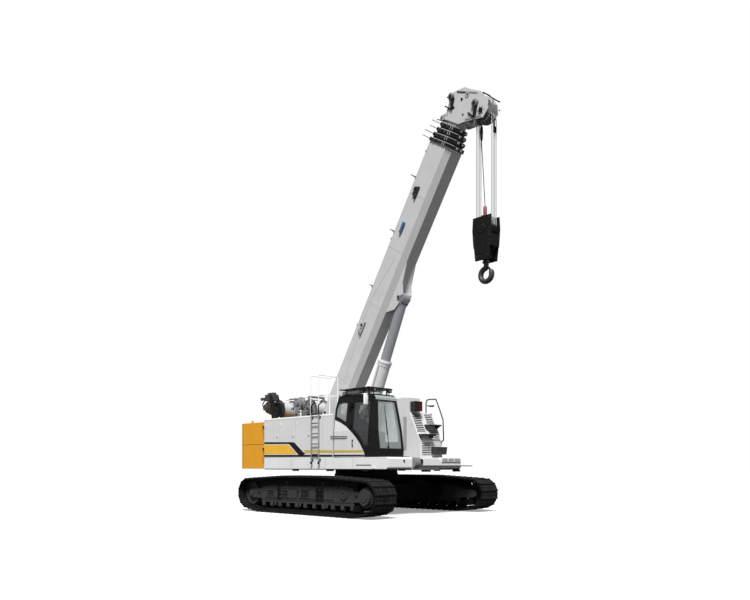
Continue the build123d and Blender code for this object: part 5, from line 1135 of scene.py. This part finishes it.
addSolid(weight, [(0.034, 0.0), (0.036, 0.1), (0.0, 0.105)], (limitSet["weightX"] - 0.08, y, 7.46), (0, 0, 1), 16)
finishPiece("limit_socket", socket, "stripeBlack", "falls")
finishPiece("limit_switch", switch, "whitePaint", "falls")
finishPiece("limit_weight", weight, "weightRed", "block", smooth=True)
start, end = Vector((x, y, limitSet["low"] + 0.004)), Vector((limitSet["weightX"], y, limitSet["cordLow"]))
splitRod(cord, start, end, 0.009, 8)
piece = finishPiece("limit_cord", cord, "rubber", None)
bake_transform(piece)
print("head dressed")

# falls between the head sheaves and the block
fallLow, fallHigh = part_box("rope_falls")
fallSet = {"radius": 0.011, "rows": 4, "steps": 24}
falls, radius, steps = bmesh.new(), fallSet["radius"], fallSet["steps"]
low, high = fallLow[1] + radius, fallHigh[1] - radius
heights = [fallHigh[2] - index * (fallHigh[2] - fallLow[2]) / steps for index in range(steps + 1)]
for row in range(fallSet["rows"]):
    y = low + row * (high - low) / (fallSet["rows"] - 1)
    for x in (fallLow[0] + radius, fallHigh[0] - radius):
        bendRod(falls, [(x, y, z) for z in heights], radius, 8)
piece = finishPiece("hoist_falls", falls, "rope", None, smooth=True)
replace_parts(piece, "rope_falls")
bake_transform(piece)

# hoist ropes: main drum over a guide roller to the boom, along its back, over the head
ropeSet = {
    "radius": 0.011, "y": 0.06, "line": 0.559, "mainTop": (-3.85, 3.484), "guide": (-2.25, 3.52), "rollerZ": 3.472,
    "firstT": 0.9, "lastT": 8.4, "rollerN": 0.5, "saddles": (3.2, 5.8, 8.2),
    "rearArm": [(-2.36, 3.2), (-2.14, 3.2), (-2.21, 3.5), (-2.29, 3.5)],
    "boomArm": [(0.76, 0.398), (1.04, 0.398), (0.94, 0.54), (0.86, 0.54)],
    "overHead": [(8.96, 0.559), (9.52, 0.452), (9.64, 0.432), (9.705, 0.33), (9.73, -0.7)],
    "bodies": ["boom", "section_2", "section_3", "section_4", "section_5"],
}
ropeY, ropeRadius = ropeSet["y"], ropeSet["radius"]
(topX, topZ), (guideX, guideZ) = ropeSet["mainTop"], ropeSet["guide"]
rearRoller, roller = meshes(2)
for y in (-0.298, 0.286):
    addPlate(rearRoller, flatAt(y, ropeSet["rearArm"]), (0, 0.012, 0))
addRod(rearRoller, (guideX, -0.3, ropeSet["rollerZ"]), (guideX, 0.3, ropeSet["rollerZ"]), 0.018)
addRing(rearRoller, (guideX, 0, ropeSet["rollerZ"]), (0, 1, 0), 0.019, 0.037, 0.44, 20)
for y in (-0.18, 0.168):
    addPlate(roller, flatAt(y, ropeSet["boomArm"]), (0, 0.012, 0))
addRod(roller, (ropeSet["firstT"], -0.185, ropeSet["rollerN"]), (ropeSet["firstT"], 0.185, ropeSet["rollerN"]), 0.016)
addRing(roller, (ropeSet["firstT"], 0, ropeSet["rollerN"]), (0, 1, 0), 0.017, 0.048, 0.32, 20)
for t in ropeSet["saddles"]:
    for y in (-0.16, 0.148):
        addBox(roller, (t - 0.03, y, 0.398), (t + 0.03, y + 0.012, 0.545))
    addRod(roller, (t, -0.165, 0.525), (t, 0.165, 0.525), 0.022)
toBoom(roller)
finishPiece("rope_guide_rear", rearRoller, "midGrey")
finishPiece("rope_guides_boom", roller, "midGrey", "boom")


def ropeAt(t):
    return boomAt(t, ropeY, ropeSet["line"])


def finishRope(name, points, body):
    mesh = bmesh.new()
    bendRod(mesh, points, ropeRadius)
    finishPiece(name, mesh, "rope", body)


def finishCross(name, start, end, steps):
    mesh = bmesh.new()
    splitRod(mesh, start, end, ropeRadius, steps)
    piece = finishPiece(name, mesh, "rope", None)
    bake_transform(piece)


guidePoint = Vector((guideX, ropeY, guideZ))
finishRope("rope_to_guide", [(topX, ropeY, topZ), guidePoint], "upper")
finishCross("rope_to_boom", guidePoint, ropeAt(ropeSet["firstT"]), 12)
finishRope("rope_on_boom", [ropeAt(ropeSet["firstT"]), ropeAt(ropeSet["lastT"])], "boom")
for index, (first, second) in enumerate(zip(ropeSet["bodies"], ropeSet["bodies"][1:])):
    t = ropeSet["lastT"] + index * boomSet["collarStep"]
    finishCross(f"rope_between_{index + 1}", ropeAt(t), ropeAt(t + boomSet["collarStep"]), 1)
finishRope("rope_over_head", [boomAt(t, ropeY, n) for t, n in ropeSet["overHead"]], "section_5")
print("ropes set")

# hook block: side bosses, cover bolts, bands, tie rods, hook latch and collar
blockSet = {"axle": 7.18, "half": 0.19, "bolts": [(0.22, 7.42), (0.22, 6.98), (0.15, 6.5), (0.2, 6.76)],
            "bands": [[(-0.255, 7.3), (0.255, 7.3), (0.262, 7.24), (-0.262, 7.24)],
                      [(-0.16, 6.9), (0.16, 6.9), (0.11, 6.56), (-0.11, 6.56)]],
            "latch": [(0.045, 6.26), (0.085, 6.25), (0.172, 6.1), (0.14, 6.09)]}


def fromHead(corners):
    return [(head.x + x, z) for x, z in corners]


plates, bolts, latch, collar = meshes(4)
for side in (-1, 1):
    y = side * blockSet["half"]
    addTurned(plates, [(0.046, 0.0), (0.12, 0.0), (0.11, 0.016), (0.046, 0.02)], (head.x, y, blockSet["axle"]),
              (0, side, 0), 28)
    addBoltRing(bolts, (head.x, y + side * 0.012, blockSet["axle"]), (0, 1, 0), 0.09, 8, 0.01, (0, side * 0.01, 0))
    for end in (-1, 1):
        spots = fromHead([(end * x, z) for x, z in blockSet["bolts"]])
        addBolts(bolts, flatAt(y, spots), 0.014, (0, side * 0.012, 0))
    for corners in blockSet["bands"]:
        addPlate(plates, flatAt(y, fromHead(corners)), (0, side * 0.006, 0))
for x in (-0.18, 0.18):
    addRod(plates, (head.x + x, -0.185, 7.455), (head.x + x, 0.185, 7.455), 0.014)
addBox(plates, (head.x - 0.125, -0.17, 7.4505), (head.x + 0.03, 0.17, 7.472))
addPlate(latch, flatAt(-0.03, fromHead(blockSet["latch"])), (0, 0.06, 0))
addRod(latch, (head.x + 0.062, -0.075, 6.24), (head.x + 0.062, 0.075, 6.24), 0.012)
addTurned(collar, [(0.06, 0.0), (0.1, 0.0), (0.094, 0.03), (0.06, 0.03)], (head.x, 0, 6.366), (0, 0, 1), 28)
finishPiece("block_plates", plates, "blockBlack", "block")
finishPiece("block_bolts", bolts, "boltSteel", "block")
finishPiece("hook_latch", latch, "darkGrey", "hook")
finishPiece("hook_collar", collar, "boltSteel", "hook")
print("hook block dressed")

# lift cylinder, along X from its foot: gland ring, bolts, feed pipe with clips, ring and nipple at the rod's eye
liftSet = {"foot": (-0.42, 0.0, 1.5), "angle": 67.013, "length": 4.844, "clips": (0.6, 1.4, 2.2),
           "gland": [(0.17, 0.0), (0.205, 0.0), (0.205, 0.05), (0.186, 0.066), (0.17, 0.066)],
           "pipe": [(0.25, -0.172, 0.0), (0.25, -0.215, 0.0), (2.86, -0.215, 0.0), (2.86, -0.172, 0.0)]}
liftTurn = Euler((0, -math.radians(liftSet["angle"]), 0)).to_matrix()
barrel, rodEnd = meshes(2)
addTurned(barrel, liftSet["gland"], (2.976, 0, 0), (1, 0, 0), 32)
addBoltRing(barrel, (2.976, 0, 0), (1, 0, 0), 0.194, 14, 0.009, (-0.012, 0, 0))
for t in liftSet["clips"]:
    addRing(barrel, (t, 0, 0), (1, 0, 0), 0.184, 0.193, 0.04, 32)
    addBox(barrel, (t - 0.02, -0.225, -0.03), (t + 0.02, -0.18, 0.03), bevel=0.004)
bendRod(barrel, liftSet["pipe"], 0.018)
addBox(barrel, (0.18, -0.2, -0.07), (0.36, -0.172, 0.07), bevel=0.006)
addTurned(rodEnd, [(0.142, 0.0), (0.158, 0.0), (0.158, 0.03), (0.142, 0.03)], (4.69, 0, 0), (1, 0, 0), 28)
addBolts(rodEnd, [(liftSet["length"], y, 0.105) for y in (0.148, -0.148)], 0.014, (0, 0.0, 0.02))
for mesh in (barrel, rodEnd):
    moveVerts(mesh, mesh.verts[:], liftTurn, liftSet["foot"])
finishPiece("barrel_fittings", barrel, "bodyGrey", "barrel")
finishPiece("rod_fittings", rodEnd, "darkGrey", "rod")

# boom foot: pin keepers on both webs; slew drives and the swivel in the ring
footSet = {"pin": (-1.47, 2.45), "webY": 0.43, "drives": ((-0.9, -0.2), (-0.9, 0.2)),
           "bolts": (-2.6, -1.9, -1.2, 0.6, 1.2, 1.8),
           "drive": [(0.15, 0.0), (0.15, 0.05), (0.12, 0.065), (0.12, 0.12), (0.085, 0.135), (0.0, 0.15)],
           "swivel": [(0.16, 0.0), (0.16, 0.08), (0.11, 0.095), (0.11, 0.13)]}
keepers, drives = meshes(2)
pinX, pinZ = footSet["pin"]
for side in (-1, 1):
    push = (0, side * 0.01, 0)
    addBoltRing(keepers, (pinX, side * footSet["webY"], pinZ), (0, 1, 0), 0.045, 4, 0.01, push)
    addBox(keepers, (pinX - 0.09, side * 0.415, 2.53), (pinX + 0.09, side * 0.427, 2.56), bevel=0.003)
    addBolts(keepers, [(x, side * 0.385, 1.34) for x in footSet["bolts"]], 0.014, push)
for x, y in footSet["drives"]:
    addSolid(drives, footSet["drive"], (x, y, 1.241), (0, 0, 1), 28)
    addBoltRing(keepers, (x, y, 1.3), (0, 0, 1), 0.135, 10, 0.01, (0, 0, 0.012))
addSolid(drives, footSet["swivel"], (0, 0, 1.02), (0, 0, 1), 32)
finishPiece("frame_keepers", keepers, "boltSteel")
finishPiece("slew_drives", drives, "darkGrey")
print("frame dressed")

# floor and light: pale floor, white surroundings, soft high sun from the right front
studioSet = {"floor": 0.09, "shown": 0.56, "glow": 0.3, "ambient": 0.27, "sun": 5.9, "sunSoft": 18.0,
             "sunFrom": (0.5, -0.56, 1.0), "half": 120.0}


# what the camera sees stands in for what the other rays meet
def pickByRay(tree, hidden, shown):
    isCamera = addNode(tree, "LightPath", output="Is Camera Ray")
    return addNode(tree, "MixShader", (), {"Fac": isCamera, 1: hidden, 2: shown})


floorMesh = bmesh.new()
bmesh.ops.create_grid(floorMesh, x_segments=1, y_segments=1, size=studioSet["half"])
floorData = bpy.data.meshes.new("floor")
floorMesh.to_mesh(floorData)
floorMesh.free()
floorObject = bpy.data.objects.new("floor", floorData)
bpy.context.collection.objects.link(floorObject)
floorFinish = bpy.data.materials.new("floorPale")
floorFinish.use_nodes = True
# seen by the camera the floor is almost white, for the other rays it is a dull grey
tree = floorFinish.node_tree
floorShader = tree.nodes["Principled BSDF"]
floorShader.inputs["Base Color"].default_value = (studioSet["floor"], studioSet["floor"], studioSet["floor"], 1)
floorShader.inputs["Roughness"].default_value = 0.9
look = addNode(tree, "BsdfDiffuse", {"Color": (studioSet["shown"], studioSet["shown"], studioSet["shown"], 1)})
glow = addNode(tree, "Emission", {"Strength": studioSet["glow"]})
seen = addNode(tree, "AddShader", (), {0: look, 1: glow})
surface = pickByRay(tree, floorShader.outputs["BSDF"], seen)
tree.links.new(surface, tree.nodes["Material Output"].inputs["Surface"])
floorData.materials.append(floorFinish)

world = bpy.data.worlds.new("studio")
bpy.context.scene.world = world
world.use_nodes = True
tree = world.node_tree
plain = tree.nodes["Background"]
plain.inputs["Color"].default_value = (1.0, 1.0, 1.0, 1)
plain.inputs["Strength"].default_value = studioSet["ambient"]
white = addNode(tree, "Background", {"Color": (1.0, 1.0, 1.0, 1), "Strength": 1.0})
surface = pickByRay(tree, plain.outputs["Background"], white)
tree.links.new(surface, tree.nodes["World Output"].inputs["Surface"])
sunData = bpy.data.lights.new("softSun", "SUN")
sunData.energy = studioSet["sun"]
sunData.angle = math.radians(studioSet["sunSoft"])
sunObject = bpy.data.objects.new("softSun", sunData)
sunObject.rotation_euler = (-Vector(studioSet["sunFrom"])).to_track_quat("-Z", "Y").to_euler()
bpy.context.collection.objects.link(sunObject)
bpy.context.scene.view_settings.view_transform = "Standard"
print("studio set")
